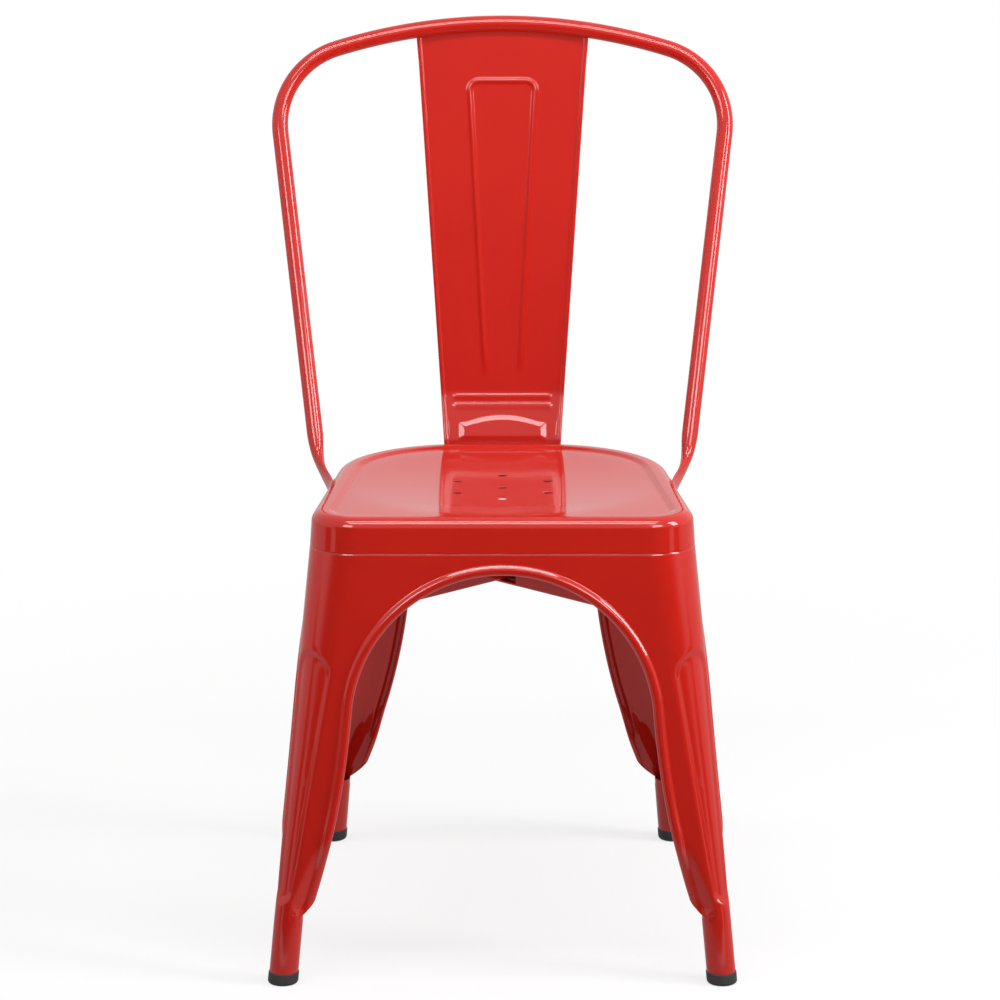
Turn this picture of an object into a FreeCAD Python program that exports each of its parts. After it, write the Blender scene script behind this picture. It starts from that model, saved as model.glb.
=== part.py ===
import FreeCAD, Part
import math
import os
from FreeCAD import Placement, Rotation, Vector

# A stacking dining chair of pressed sheet steel and bent tube.
# X runs to the right as seen from the front, Y runs to the back and Z runs up.
# The origin is on the floor, in the middle of the chair's width and depth.
# All lengths are in millimetres and all angles in degrees.
# Heights are measured from the floor, rises and drops from the seat's height,
# and depths from the middle of the seat.

# Sheet metal and small gaps
SHEET = 1.2
SEAM_GAP = 0.3
WELD_SIZE = 2.0
WELD_GAP = 0.05
SPOT_RADIUS = 3.0
FILLET_MARGIN = 0.05

# Seat pan: its rim's plane leans back, and its edges are seen from above
SEAT_HEIGHT = 444.5
SEAT_TILT = 2.9
SEAT_DEPTH = 343.0
SEAT_FRONT_WIDTH = 375.0
SEAT_REAR_WIDTH = 298.5
FRONT_CORNER_RADIUS = 45.0
REAR_CORNER_RADIUS = 125.0
REAR_EDGE_RADIUS = 2000.0
ROLL_RADIUS = 11.0
SKIRT_DEPTH = 33.0
SKIRT_FLARE = 1.5
RIM_WIDTH = 17.0
DISH_STEP = 2.5
DISH_STEP_WIDTH = 5.0
DISH_DEPTH = 8.0
DISH_RADIUS = 2000.0
HOLE_DIAMETER = 9.5
HOLE_CIRCLE_DIAMETER = 101.6
HOLE_COUNT = 6

# Legs: pressed corner sheets that close into round tubes at the bottom
TUBE_RADIUS = 14.0
TUBE_TOP_HEIGHT = 62.0
FRONT_FOOT_SPREAD = 211.0
FRONT_FOOT_AHEAD = 204.0
FRONT_SPLAY = 5.4
FRONT_RAKE = 5.8
REAR_FOOT_SPREAD = 174.5
REAR_FOOT_BEHIND = 225.5
REAR_SPLAY = 4.6
REAR_RAKE = 9.2
TUCK_HEIGHT = 18.0
LIP_DEPTH = 10.0
SIDE_SEAM_BEHIND = 3.0

# Arches between the legs: a round crown, then a wide curve out to each foot
FRONT_CROWN_DROP = 45.7
FRONT_CROWN_RADIUS = 144.0
FRONT_ARCH_ANGLE = 4.6
FRONT_FLARE_RADIUS = 850.0
REAR_CROWN_DROP = 61.5
REAR_CROWN_RADIUS = 98.0
REAR_ARCH_ANGLE = 0.0
REAR_FLARE_RADIUS = 550.0
SIDE_CROWN_DROP = 54.5
SIDE_CROWN_RADIUS = 138.0
SIDE_FRONT_ANGLE = 6.0
SIDE_FRONT_FLARE_RADIUS = 900.0
SIDE_REAR_ANGLE = 10.0
SIDE_REAR_FLARE_RADIUS = 1100.0
BEAD_WIDTH = 9.0
BEAD_RISE = 2.5
BEAD_END_HEIGHT = 78.0

# Stiffening recess down the outer corner of each leg
RECESS_DEPTH = 2.5
RECESS_TOP_DROP = 120.5
RECESS_BOTTOM_HEIGHT = 88.0
RECESS_TOP_WIDTH = 58.0
RECESS_BOTTOM_WIDTH = 26.0

# Back hoop: one bent tube whose flattened ends lie on the seat's sides
HOOP_RADIUS = 8.0
HOOP_WALL = 1.2
HOOP_RISE = 397.5
HOOP_TOP_BEHIND = 264.0
HOOP_LEAN = 23.0
HOOP_WIDTH = 442.0
HOOP_TOP_CURVE = 550.0
HOOP_CORNER_CURVE = 80.0
HOOP_TAPER = 6.7
HOOP_BEND_RISE = 6.3
HOOP_BEND_PULL = 0.4
HOOP_PAD_PULL = 0.2
HOOP_FLATTENING = 0.45
HOOP_PAD_BEHIND = 40.0
HOOP_PAD_BELOW_RIM = 22.0
HOOP_PAD_FALL = 80.0
HOOP_PAD_HALF_WIDTH = 10.5
HOOP_PAD_HALF_THICKNESS = 2.2
HOOP_PAD_LENGTH = 16.0

# Back slat: a tapering pressed sheet with hemmed sides and a raised bead
SLAT_TOP_WIDTH = 172.0
SLAT_FOOT_WIDTH = 118.0
SLAT_BEND_RISE = 33.5
SLAT_BEND_BEHIND = 188.5
SLAT_BEND_RADIUS = 70.0
SLAT_FOOT_RADIUS = 25.0
SLAT_TOP_GAP = 0.5
SLAT_FOOT_LENGTH = 18.0
SLAT_SEATING = 0.6
HEM_WIDTH = 4.0
HEM_THICKNESS = 3.5
SLAT_BEAD_WIDTH = 5.0
SLAT_BEAD_RISE = 1.2
SLAT_BEAD_TOP_DROP = 51.0
SLAT_BEAD_BOTTOM_DROP = 345.0
SLAT_BEAD_TOP_HALF_WIDTH = 33.0
SLAT_BEAD_BOTTOM_HALF_WIDTH = 17.0
SLAT_BEAD_CORNER = 10.0

# Cross brace: two channel strips that cross under the seat
BRACE_DROP = 99.5
BRACE_BEHIND = 5.0
BRACE_ANGLE = 41.5
BRACE_WIDTH = 20.0
BRACE_WALL_HEIGHT = 13.0
BRACE_STEP = 3.5
BRACE_END_GAP = 0.3

# Rubber feet
FOOT_RADIUS = 14.7
FOOT_HEIGHT = 11.5
FOOT_EDGE = 3.0
PLUG_LENGTH = 14.0
PLUG_GAP = 0.3

# Heights that follow the seat's
FRONT_CROWN_HEIGHT = SEAT_HEIGHT - FRONT_CROWN_DROP
REAR_CROWN_HEIGHT = SEAT_HEIGHT - REAR_CROWN_DROP
SIDE_CROWN_HEIGHT = SEAT_HEIGHT - SIDE_CROWN_DROP
RECESS_TOP_HEIGHT = SEAT_HEIGHT - RECESS_TOP_DROP
HOOP_TOP_HEIGHT = SEAT_HEIGHT + HOOP_RISE
SLAT_BEND_HEIGHT = SEAT_HEIGHT + SLAT_BEND_RISE
BRACE_HEIGHT = SEAT_HEIGHT - BRACE_DROP

# Depth positions: the origin lies midway between the front feet and the hoop
FRONT_EXTENT = FRONT_FOOT_AHEAD + FOOT_RADIUS
REAR_EXTENT = HOOP_TOP_BEHIND + HOOP_RADIUS
SEAT_Y = (FRONT_EXTENT - REAR_EXTENT) / 2
FAR = 600.0
FLOOR_MARGIN = 0.01
HOOP_END_STEPS = 6


def deg_sin(angle):
    return math.sin(math.radians(angle))


def deg_cos(angle):
    return math.cos(math.radians(angle))


def deg_tan(angle):
    return math.tan(math.radians(angle))


def behind(x, depth, height):
    """A point given by its depth behind the seat's middle and its height."""
    return Vector(x, SEAT_Y + depth, height)


def box_between(low, high):
    size = high - low
    return Part.makeBox(size.x, size.y, size.z, low)


def mirror_x(shape):
    return shape.mirror(Vector(0, 0, 0), Vector(1, 0, 0))


def arc_edge(start, middle, end):
    return Part.Arc(start, middle, end).toShape()


def line_edge(start, end):
    return Part.LineSegment(start, end).toShape()


def closed_solid(faces):
    """A valid outward-facing solid from the faces that close it."""
    shell = Part.makeShell(faces)
    shell.sewShape()
    solid = Part.makeSolid(shell)
    if solid.Volume < 0:
        solid.reverse()
    return solid


# Outlines seen from above


class CornerOutline:
    """Half of an outline: front line, corner arc, side line, corner arc, rear edge."""

    def __init__(self, front_y, front_centre, front_radius,
                 rear_centre, rear_radius, normal, rear_y, bow):
        self.front_y = front_y
        self.front_centre = front_centre
        self.front_radius = front_radius
        self.rear_centre = rear_centre
        self.rear_radius = rear_radius
        self.normal = normal
        self.rear_y = rear_y
        self.bow = bow

    def arc(self, centre, radius, start_angle, end_angle):
        angles = (start_angle, (start_angle + end_angle) / 2, end_angle)
        points = [centre + Vector(math.cos(a), math.sin(a), 0) * radius for a in angles]
        return arc_edge(*points)

    def half_edges(self):
        side_angle = math.atan2(self.normal.y, self.normal.x)
        front = self.arc(self.front_centre, self.front_radius, -math.pi / 2, side_angle)
        if self.bow:
            bow_centre = Vector(0, self.rear_y - self.bow, 0)
            toward = self.rear_centre - bow_centre
            end_angle = math.atan2(toward.y, toward.x)
            rear = self.arc(self.rear_centre, self.rear_radius, side_angle, end_angle)
            last = self.arc(bow_centre, self.bow, end_angle, math.pi / 2)
        else:
            rear = self.arc(self.rear_centre, self.rear_radius, side_angle, math.pi / 2)
            last = line_edge(rear.Vertexes[1].Point, Vector(0, self.rear_y, 0))
        first = line_edge(Vector(0, self.front_y, 0), front.Vertexes[0].Point)
        side = line_edge(front.Vertexes[1].Point, rear.Vertexes[0].Point)
        return [first, front, side, rear, last]

    def edges(self):
        right = self.half_edges()
        left = [mirror_x(edge) for edge in right]
        return right + left[::-1]


def seat_outline(grow):
    """The seat's outline in its own plane, offset outward by grow."""
    slope = (SEAT_FRONT_WIDTH - SEAT_REAR_WIDTH) / 2 / SEAT_DEPTH
    normal = Vector(1, slope, 0)
    normal.normalize()
    front_y = -SEAT_DEPTH / 2
    rear_y = SEAT_DEPTH / 2
    corner = Vector(SEAT_FRONT_WIDTH / 2, front_y, 0)
    front_centre_y = front_y + FRONT_CORNER_RADIUS
    reach = corner.dot(normal) - FRONT_CORNER_RADIUS
    front_centre = Vector((reach - front_centre_y * normal.y) / normal.x, front_centre_y, 0)
    along = Vector(-normal.y, normal.x, 0)
    base = normal * (corner.dot(normal) - REAR_CORNER_RADIUS)
    bow_centre = Vector(0, rear_y - REAR_EDGE_RADIUS, 0)
    start = base - bow_centre
    half_b = start.dot(along)
    rest = start.dot(start) - (REAR_EDGE_RADIUS - REAR_CORNER_RADIUS) ** 2
    travel = -half_b + math.sqrt(half_b ** 2 - rest)
    rear_centre = base + along * travel
    return CornerOutline(
        front_y - grow, front_centre, FRONT_CORNER_RADIUS + grow,
        rear_centre, REAR_CORNER_RADIUS + grow, normal, rear_y + grow, REAR_EDGE_RADIUS + grow)


def foot_centre(front, height):
    """Where a right-hand leg tube's axis is at a height."""
    if front:
        x = FRONT_FOOT_SPREAD - height * deg_tan(FRONT_SPLAY)
        return behind(x, -FRONT_FOOT_AHEAD + height * deg_tan(FRONT_RAKE), height)
    x = REAR_FOOT_SPREAD - height * deg_tan(REAR_SPLAY)
    return behind(x, REAR_FOOT_BEHIND - height * deg_tan(REAR_RAKE), height)


def foot_outline(grow):
    """The outline round the four leg tubes at the height of their tops."""
    front_centre = foot_centre(True, TUBE_TOP_HEIGHT)
    rear_centre = foot_centre(False, TUBE_TOP_HEIGHT)
    front_centre.z = 0
    rear_centre.z = 0
    along = rear_centre - front_centre
    normal = Vector(along.y, -along.x, 0)
    normal.normalize()
    radius = TUBE_RADIUS + grow
    return CornerOutline(
        front_centre.y - radius, front_centre, radius,
        rear_centre, radius, normal, rear_centre.y + radius, None)


SEAT_PLACE = Placement(Vector(0, SEAT_Y, SEAT_HEIGHT), Rotation(Vector(1, 0, 0), -SEAT_TILT))


def on_seat(edges, rise):
    """Edges of a seat outline, moved to a level above the rim's plane."""
    place = SEAT_PLACE.multiply(Placement(Vector(0, 0, rise), Rotation()))
    moved = [edge.copy() for edge in edges]
    for edge in moved:
        edge.Placement = place.multiply(edge.Placement)
    return moved


def seat_point(x, depth, rise):
    """A point given in the seat's own plane."""
    return SEAT_PLACE.multVec(Vector(x, depth, rise))


def at_height(edges, height):
    moved = [edge.copy() for edge in edges]
    for edge in moved:
        edge.translate(Vector(0, 0, height))
    return moved


def ruled_solid(lower, upper):
    """A solid with straight sides between two outlines of matching edges."""
    faces = [Part.makeRuledSurface(a, b) for a, b in zip(lower, upper)]
    faces.append(Part.Face(Part.Wire(Part.__sortEdges__(lower))))
    faces.append(Part.Face(Part.Wire(Part.__sortEdges__(upper))))
    return closed_solid(faces)


# Seat pan


def seat_prism(lower_grow, upper_grow, lower_rise, upper_rise):
    lower = on_seat(seat_outline(lower_grow).edges(), lower_rise)
    upper = on_seat(seat_outline(upper_grow).edges(), upper_rise)
    return ruled_solid(lower, upper)


def skirt_grow(rise):
    """How far the skirt stands outside the rim's outline, at a level below the rim."""
    return SKIRT_FLARE * (-rise - ROLL_RADIUS) / (SKIRT_DEPTH - ROLL_RADIUS)


def skirt_prism(inset, lower_rise, upper_rise):
    """A slice of the space within the skirt, inset from its outside."""
    lower_grow = skirt_grow(lower_rise) - inset
    return seat_prism(lower_grow, skirt_grow(upper_rise) - inset, lower_rise, upper_rise)


def rounded_block(inset, bottom_rise):
    """The seat's outside, or its inside when inset, before the dish is pressed."""
    block = skirt_prism(inset, bottom_rise, -ROLL_RADIUS)
    cap = seat_prism(-inset, -inset, -ROLL_RADIUS, -inset)
    edges = []
    for edge in cap.Edges:
        rises = [SEAT_PLACE.inverse().multVec(v.Point).z for v in edge.Vertexes]
        if min(rises) > -inset - FILLET_MARGIN:
            edges.append(edge)
    cap = cap.makeFillet(ROLL_RADIUS - inset - FILLET_MARGIN, edges)
    return block.fuse(cap).removeSplitter()


def dish_tool(inset):
    """What the press takes out of the top, with the sheet's thickness when inset."""
    step_top = -RIM_WIDTH + inset
    step_floor = step_top - DISH_STEP_WIDTH
    step = seat_prism(step_floor, step_top, -DISH_STEP - inset, -inset)
    above = seat_prism(step_top, step_top, -inset, ROLL_RADIUS)
    bowl_space = seat_prism(step_floor, step_floor, -2 * DISH_DEPTH - inset, -inset)
    bowl = Part.makeSphere(DISH_RADIUS + inset, seat_point(0, 0, DISH_RADIUS - DISH_DEPTH))
    return step.fuse(above).fuse(bowl_space.common(bowl))


def drain_holes():
    holes = []
    places = [Vector(0, 0, 0)]
    for number in range(HOLE_COUNT):
        angle = 90 + 360 * number / HOLE_COUNT
        places.append(Vector(deg_cos(angle), deg_sin(angle), 0) * (HOLE_CIRCLE_DIAMETER / 2))
    for place in places:
        start = place - Vector(0, 0, 3 * DISH_DEPTH)
        drill = Part.makeCylinder(HOLE_DIAMETER / 2, 4 * DISH_DEPTH, start)
        drill.Placement = SEAT_PLACE.multiply(drill.Placement)
        holes.append(drill)
    return Part.makeCompound(holes)


def make_seat_pan():
    outside = rounded_block(0, -SKIRT_DEPTH).cut(dish_tool(0))
    inside = rounded_block(SHEET, -SKIRT_DEPTH - SHEET).cut(dish_tool(SHEET))
    return outside.cut(inside).cut(drain_holes())


# Legs


def leg_body(inset, drop=0.0):
    """The tapering body that the four leg sheets wrap, inset from its outside."""
    upper = on_seat(seat_outline(SKIRT_FLARE - inset).edges(), -SKIRT_DEPTH - SEAM_GAP - drop)
    lower = at_height(foot_outline(-inset).edges(), TUBE_TOP_HEIGHT)
    return ruled_solid(lower, upper)


def arch_half(radius, crown, angle, flare, bottom):
    """Edges of half an arch, from its crown down, in a plane of (across, up)."""
    centre = Vector(0, crown - radius, 0)
    turn = math.radians(angle)
    half_turn = (math.pi / 2 + turn) / 2
    top = centre + Vector(0, radius, 0)
    middle = centre + Vector(math.cos(half_turn), math.sin(half_turn), 0) * radius
    side = centre + Vector(math.cos(turn), math.sin(turn), 0) * radius
    flare_centre = centre + Vector(math.cos(turn), math.sin(turn), 0) * (radius + flare)
    last = math.asin((flare_centre.y - bottom) / flare)
    middle_turn = (turn + last) / 2
    flare_middle = flare_centre - Vector(math.cos(middle_turn), math.sin(middle_turn), 0) * flare
    foot = flare_centre - Vector(math.cos(last), math.sin(last), 0) * flare
    return [arc_edge(top, middle, side), arc_edge(side, flare_middle, foot)]


def arch_face(right, left, grow, with_toes):
    """An arch's opening, made larger all round by grow, down to the tubes or the lips' ends."""
    halves = []
    feet = []
    for crown, radius, angle, flare, toe, sign in (right + (1,), left + (-1,)):
        edges = arch_half(radius + grow, crown + grow, angle, flare - grow, BEAD_END_HEIGHT)
        foot = edges[-1].Vertexes[1].Point
        if with_toes:
            toe_point = Vector(toe + grow, TUBE_TOP_HEIGHT - SHEET, 0)
            edges.append(line_edge(foot, toe_point))
            foot = toe_point
        if sign < 0:
            edges = [mirror_x(edge) for edge in edges]
        feet.append(Vector(foot.x * sign, foot.y, 0))
        halves += edges
    closing = line_edge(*feet)
    wire = Part.Wire(Part.__sortEdges__(halves + [closing]))
    return Part.Face(wire)


FRONT_TUBE_TOP = foot_centre(True, TUBE_TOP_HEIGHT)
REAR_TUBE_TOP = foot_centre(False, TUBE_TOP_HEIGHT)
SEAM_Y = SEAT_Y + SIDE_SEAM_BEHIND
FRONT_ARCH = (
    FRONT_CROWN_HEIGHT, FRONT_CROWN_RADIUS, FRONT_ARCH_ANGLE, FRONT_FLARE_RADIUS,
    FRONT_TUBE_TOP.x - TUBE_RADIUS)
REAR_ARCH = (
    REAR_CROWN_HEIGHT, REAR_CROWN_RADIUS, REAR_ARCH_ANGLE, REAR_FLARE_RADIUS,
    REAR_TUBE_TOP.x - TUBE_RADIUS)
SIDE_ARCH_FRONT = (
    SIDE_CROWN_HEIGHT, SIDE_CROWN_RADIUS, SIDE_FRONT_ANGLE, SIDE_FRONT_FLARE_RADIUS,
    SEAM_Y - FRONT_TUBE_TOP.y - TUBE_RADIUS)
SIDE_ARCH_REAR = (
    SIDE_CROWN_HEIGHT, SIDE_CROWN_RADIUS, SIDE_REAR_ANGLE, SIDE_REAR_FLARE_RADIUS,
    REAR_TUBE_TOP.y - TUBE_RADIUS - SEAM_Y)


def arch_prisms(grow, with_toes):
    """The four arches as prisms through the front, the back and both sides."""
    upright = Rotation(Vector(1, 0, 0), 90)
    front = arch_face(FRONT_ARCH, FRONT_ARCH, grow, with_toes)
    front.Placement = Placement(Vector(0, SEAT_Y, 0), upright)
    rear = arch_face(REAR_ARCH, REAR_ARCH, grow, with_toes)
    rear.Placement = Placement(Vector(0, SEAT_Y, 0), upright)
    side = arch_face(SIDE_ARCH_REAR, SIDE_ARCH_FRONT, grow, with_toes)
    turned = Rotation(Vector(0, 0, 1), 90).multiply(upright)
    side.Placement = Placement(Vector(0, SEAM_Y, 0), turned)
    start = SEAT_DEPTH / 4
    cuts = []
    ways = (Vector(0, -1, 0), Vector(0, 1, 0), Vector(1, 0, 0))
    for face, direction in zip((front, rear, side), ways):
        face.translate(direction * start)
        cuts.append(face.extrude(direction * FAR))
    cuts.append(mirror_x(cuts[2]))
    return cuts


def cut_all(shape, tools):
    for tool in tools:
        shape = shape.cut(tool)
    return shape


def recess_tool(front, grow):
    """A wide slot across a right-hand leg's outer corner, cut square to the corner."""
    outline = seat_outline(SKIRT_FLARE)
    side_sign = -1 if front else 1
    if front:
        upper_centre = outline.front_centre
        upper_radius = outline.front_radius
    else:
        upper_centre = outline.rear_centre
        upper_radius = outline.rear_radius
    outward = Vector(1, side_sign, 0)
    outward.normalize()
    across = Vector(-outward.y, outward.x, 0)
    upper = seat_point(upper_centre.x, upper_centre.y, -SKIRT_DEPTH) + outward * upper_radius
    lower = foot_centre(front, TUBE_TOP_HEIGHT) + outward * TUBE_RADIUS
    climb = upper - lower

    def on_corner(height, shift):
        share = (height - lower.z) / climb.z
        return lower + climb * share + across * shift

    top_half = RECESS_TOP_WIDTH / 2 + grow
    bottom_half = RECESS_BOTTOM_WIDTH / 2 + grow
    shoulder = RECESS_TOP_HEIGHT - RECESS_TOP_WIDTH / 2
    heel = RECESS_BOTTOM_HEIGHT + RECESS_BOTTOM_WIDTH / 2
    right_top = on_corner(shoulder, top_half)
    left_top = on_corner(shoulder, -top_half)
    right_bottom = on_corner(heel, bottom_half)
    left_bottom = on_corner(heel, -bottom_half)
    wire = Part.Wire([
        arc_edge(left_top, on_corner(RECESS_TOP_HEIGHT + grow, 0), right_top),
        line_edge(right_top, right_bottom),
        arc_edge(right_bottom, on_corner(RECESS_BOTTOM_HEIGHT - grow, 0), left_bottom),
        line_edge(left_bottom, left_top)])
    face = Part.Face(wire)
    face.translate(outward * -REAR_CORNER_RADIUS / 4)
    return face.extrude(outward * REAR_CORNER_RADIUS)


def recess_cuts(inset):
    """What the recesses take from the body at an inset."""
    keep = leg_body(RECESS_DEPTH + inset)
    cuts = []
    for front in (True, False):
        tool = recess_tool(front, inset).cut(keep)
        cuts.append(tool)
        cuts.append(mirror_x(tool))
    return cuts


def leg_tube(front, inset, bottom, top):
    """A leg tube between two heights, with level ends."""
    rings = []
    for height in (bottom, top):
        centre = foot_centre(front, height)
        circle = Part.makeCircle(TUBE_RADIUS - inset, centre)
        rings.append(Part.Wire([circle]))
    return Part.makeLoft(rings, True, True)


def make_leg_shell():
    """All four leg sheets in one, before they are parted at the seams."""
    outer = leg_body(0)
    bands = arch_prisms(BEAD_WIDTH, False)
    raised = leg_body(-BEAD_RISE)
    for band in bands:
        outer = outer.fuse(raised.common(band))
    outer = cut_all(outer, recess_cuts(0))
    outer = cut_all(outer, arch_prisms(0, True))
    collar_top = -SKIRT_DEPTH + TUCK_HEIGHT
    collar_bottom = -SKIRT_DEPTH - SEAM_GAP - SHEET
    outer = outer.fuse(skirt_prism(SHEET + SEAM_GAP, collar_bottom, collar_top))

    inner = leg_body(SHEET, SHEET)
    inner_bands = arch_prisms(BEAD_WIDTH - SHEET, False)
    inner_raised = leg_body(SHEET - BEAD_RISE, SHEET)
    for band in inner_bands:
        inner = inner.fuse(inner_raised.common(band))
    inner = cut_all(inner, recess_cuts(SHEET))
    inner = cut_all(inner, arch_prisms(SHEET, True))
    shell = outer.cut(inner)
    shell = shell.cut(leg_body(LIP_DEPTH, SHEET))
    below_collar = collar_bottom - 2 * SHEET
    return shell.cut(skirt_prism(2 * SHEET + SEAM_GAP, below_collar, collar_top + SHEET))


def make_leg(shell, front, right):
    """One leg: its quarter of the shell, and its tube."""
    half_gap = SEAM_GAP / 2
    low = Vector(half_gap if right else -FAR, -FAR if front else SEAM_Y + half_gap, 0)
    high = Vector(FAR if right else -half_gap, SEAM_Y - half_gap if front else FAR, FAR)
    sheet = shell.common(box_between(low, high))
    tube = leg_tube(front, 0, FOOT_HEIGHT, TUBE_TOP_HEIGHT)
    bore = leg_tube(front, SHEET, FOOT_HEIGHT, TUBE_TOP_HEIGHT)
    tube = tube.cut(bore)
    if not right:
        tube = mirror_x(tube)
    return sheet.fuse(tube)


# Rubber feet


def make_foot(front, right):
    """A rubber cap under the tube's end, with a plug that goes up its bore."""
    rings = []
    for height in (0.0, FOOT_HEIGHT):
        rings.append(Part.Wire([Part.makeCircle(FOOT_RADIUS, foot_centre(front, height))]))
    cap = Part.makeLoft(rings, True, True)
    floor_edges = [edge for edge in cap.Edges if edge.BoundBox.ZMax < FLOOR_MARGIN]
    cap = cap.makeFillet(FOOT_EDGE, floor_edges)
    plug = leg_tube(front, SHEET + PLUG_GAP, FOOT_HEIGHT, FOOT_HEIGHT + PLUG_LENGTH)
    foot = cap.fuse(plug)
    if right:
        return foot
    return mirror_x(foot)


# Back hoop


def hoop_point(x, drop):
    """A point in the hoop's leaning plane, at a distance down from its top."""
    depth = HOOP_TOP_BEHIND - drop * deg_sin(HOOP_LEAN)
    return behind(x, depth, HOOP_TOP_HEIGHT - drop * deg_cos(HOOP_LEAN))


def hoop_half_path():
    """Edges of the right half of the tube's centre line, from the top down."""
    across = HOOP_WIDTH / 2 - HOOP_CORNER_CURVE
    reach = HOOP_TOP_CURVE - HOOP_CORNER_CURVE
    corner_drop = HOOP_TOP_CURVE - math.sqrt(reach ** 2 - across ** 2)
    turn = math.atan2(across, HOOP_TOP_CURVE - corner_drop)
    taper = -math.radians(HOOP_TAPER)

    def on_top(angle):
        drop = HOOP_TOP_CURVE * (1 - math.cos(angle))
        return hoop_point(HOOP_TOP_CURVE * math.sin(angle), drop)

    def on_corner(angle):
        drop = corner_drop - HOOP_CORNER_CURVE * math.sin(angle)
        return hoop_point(across + HOOP_CORNER_CURVE * math.cos(angle), drop)

    corner_start = on_top(turn)
    corner_end = on_corner(taper)
    fall = corner_end.z - (SEAT_HEIGHT + HOOP_BEND_RISE)
    straight = fall / deg_cos(HOOP_LEAN)
    side_end = corner_end + Vector(
        -straight * deg_tan(HOOP_TAPER), -straight * deg_sin(HOOP_LEAN), -fall)
    return [
        arc_edge(on_top(0), on_top(turn / 2), corner_start),
        arc_edge(corner_start, on_corner((math.pi / 2 - turn + taper) / 2), corner_end),
        line_edge(corner_end, side_end)]


def hoop_wire():
    right = hoop_half_path()
    left = [mirror_x(edge) for edge in right]
    return Part.Wire(Part.__sortEdges__(left[::-1] + right))


def hoop_bar(radius):
    """A round bar along the hoop's centre line, without its flattened ends."""
    path = hoop_wire()
    start = path.OrderedVertexes[0].Point
    first = path.OrderedEdges[0]
    away = first.tangentAt(first.FirstParameter)
    profile = Part.Wire([Part.makeCircle(radius, start, away)])
    return path.makePipeShell([profile], True, False)


def pad_centre(ahead):
    """A point on the flattened end's middle, ahead of where it meets the seat."""
    depth = HOOP_PAD_BEHIND - ahead * deg_sin(HOOP_PAD_FALL)
    rise = -HOOP_PAD_BELOW_RIM - ahead * deg_cos(HOOP_PAD_FALL)
    slope = (SEAT_FRONT_WIDTH - SEAT_REAR_WIDTH) / 2 / SEAT_DEPTH
    edge = (SEAT_FRONT_WIDTH + SEAT_REAR_WIDTH) / 4 - depth * slope + skirt_grow(rise)
    return seat_point(edge + HOOP_PAD_HALF_THICKNESS - SEAM_GAP, depth, rise)


def hoop_end(grow):
    """The right-hand flattened end, lofted from the round tube to a flat pad."""
    side = hoop_half_path()[-1]
    start = side.Vertexes[1].Point
    start_way = side.tangentAt(side.FirstParameter)
    goal = pad_centre(0)
    goal_way = pad_centre(1) - goal
    goal_way.normalize()
    distance = (goal - start).Length
    bend_pull = start_way * (distance * HOOP_BEND_PULL)
    pad_pull = goal_way * (distance * HOOP_PAD_PULL)
    knots = [start, start + bend_pull, goal - pad_pull, goal]
    wires = []
    for step in range(HOOP_END_STEPS + 2):
        share = min(step / HOOP_END_STEPS, 1.0)
        rest = 1 - share
        point = (
            knots[0] * rest ** 3 + knots[1] * 3 * rest ** 2 * share
            + knots[2] * 3 * rest * share ** 2 + knots[3] * share ** 3)
        way = (
            (knots[1] - knots[0]) * rest ** 2 + (knots[2] - knots[1]) * 2 * rest * share
            + (knots[3] - knots[2]) * share ** 2)
        if step > HOOP_END_STEPS:
            point = goal + goal_way * HOOP_PAD_LENGTH
        way.normalize()
        flat = share ** HOOP_FLATTENING
        wide = HOOP_RADIUS + (HOOP_PAD_HALF_WIDTH - HOOP_RADIUS) * flat + grow
        thick = HOOP_RADIUS + (HOOP_PAD_HALF_THICKNESS - HOOP_RADIUS) * flat + grow
        outward = Vector(1, 0, 0)
        broad = way.cross(outward)
        broad.normalize()
        if step:
            ring = Part.Ellipse(Vector(0, 0, 0), wide, thick).toShape()
        else:
            ring = Part.makeCircle(wide)
        ring.Placement = Placement(point, Rotation(broad, way.cross(broad), way, "ZXY"))
        wires.append(Part.Wire([ring]))
    return Part.makeLoft(wires, True, False)


def make_back_hoop(seat_outside):
    tube = hoop_bar(HOOP_RADIUS).cut(hoop_bar(HOOP_RADIUS - HOOP_WALL))
    right_end = hoop_end(0).cut(seat_outside)
    return tube.fuse(right_end).fuse(mirror_x(right_end))


def hoop_end_beads(seat_outside):
    """Fillet beads round both pads, where they lie on the skirt."""
    near_skirt = skirt_prism(-WELD_SIZE, -SKIRT_DEPTH, -ROLL_RADIUS)
    bead = hoop_end(WELD_SIZE).cut(hoop_end(0)).common(near_skirt).cut(seat_outside)
    return Part.makeCompound([bead, mirror_x(bead)])


# Back slat


def slat_corners():
    """The slat's side view: top, bend, seat's rear edge and tail."""
    rear = SEAT_DEPTH / 2 + SHEET / 2 - SLAT_SEATING
    top = behind(0, HOOP_TOP_BEHIND, HOOP_TOP_HEIGHT)
    bend = behind(0, SLAT_BEND_BEHIND, SLAT_BEND_HEIGHT)
    slope = SKIRT_FLARE / (SKIRT_DEPTH - ROLL_RADIUS)
    knee = seat_point(0, rear - slope * ROLL_RADIUS, 0)
    tail_rise = -ROLL_RADIUS - SLAT_FOOT_LENGTH
    tail = seat_point(0, rear + slope * SLAT_FOOT_LENGTH, tail_rise)
    return [top, bend, knee, tail]


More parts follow.
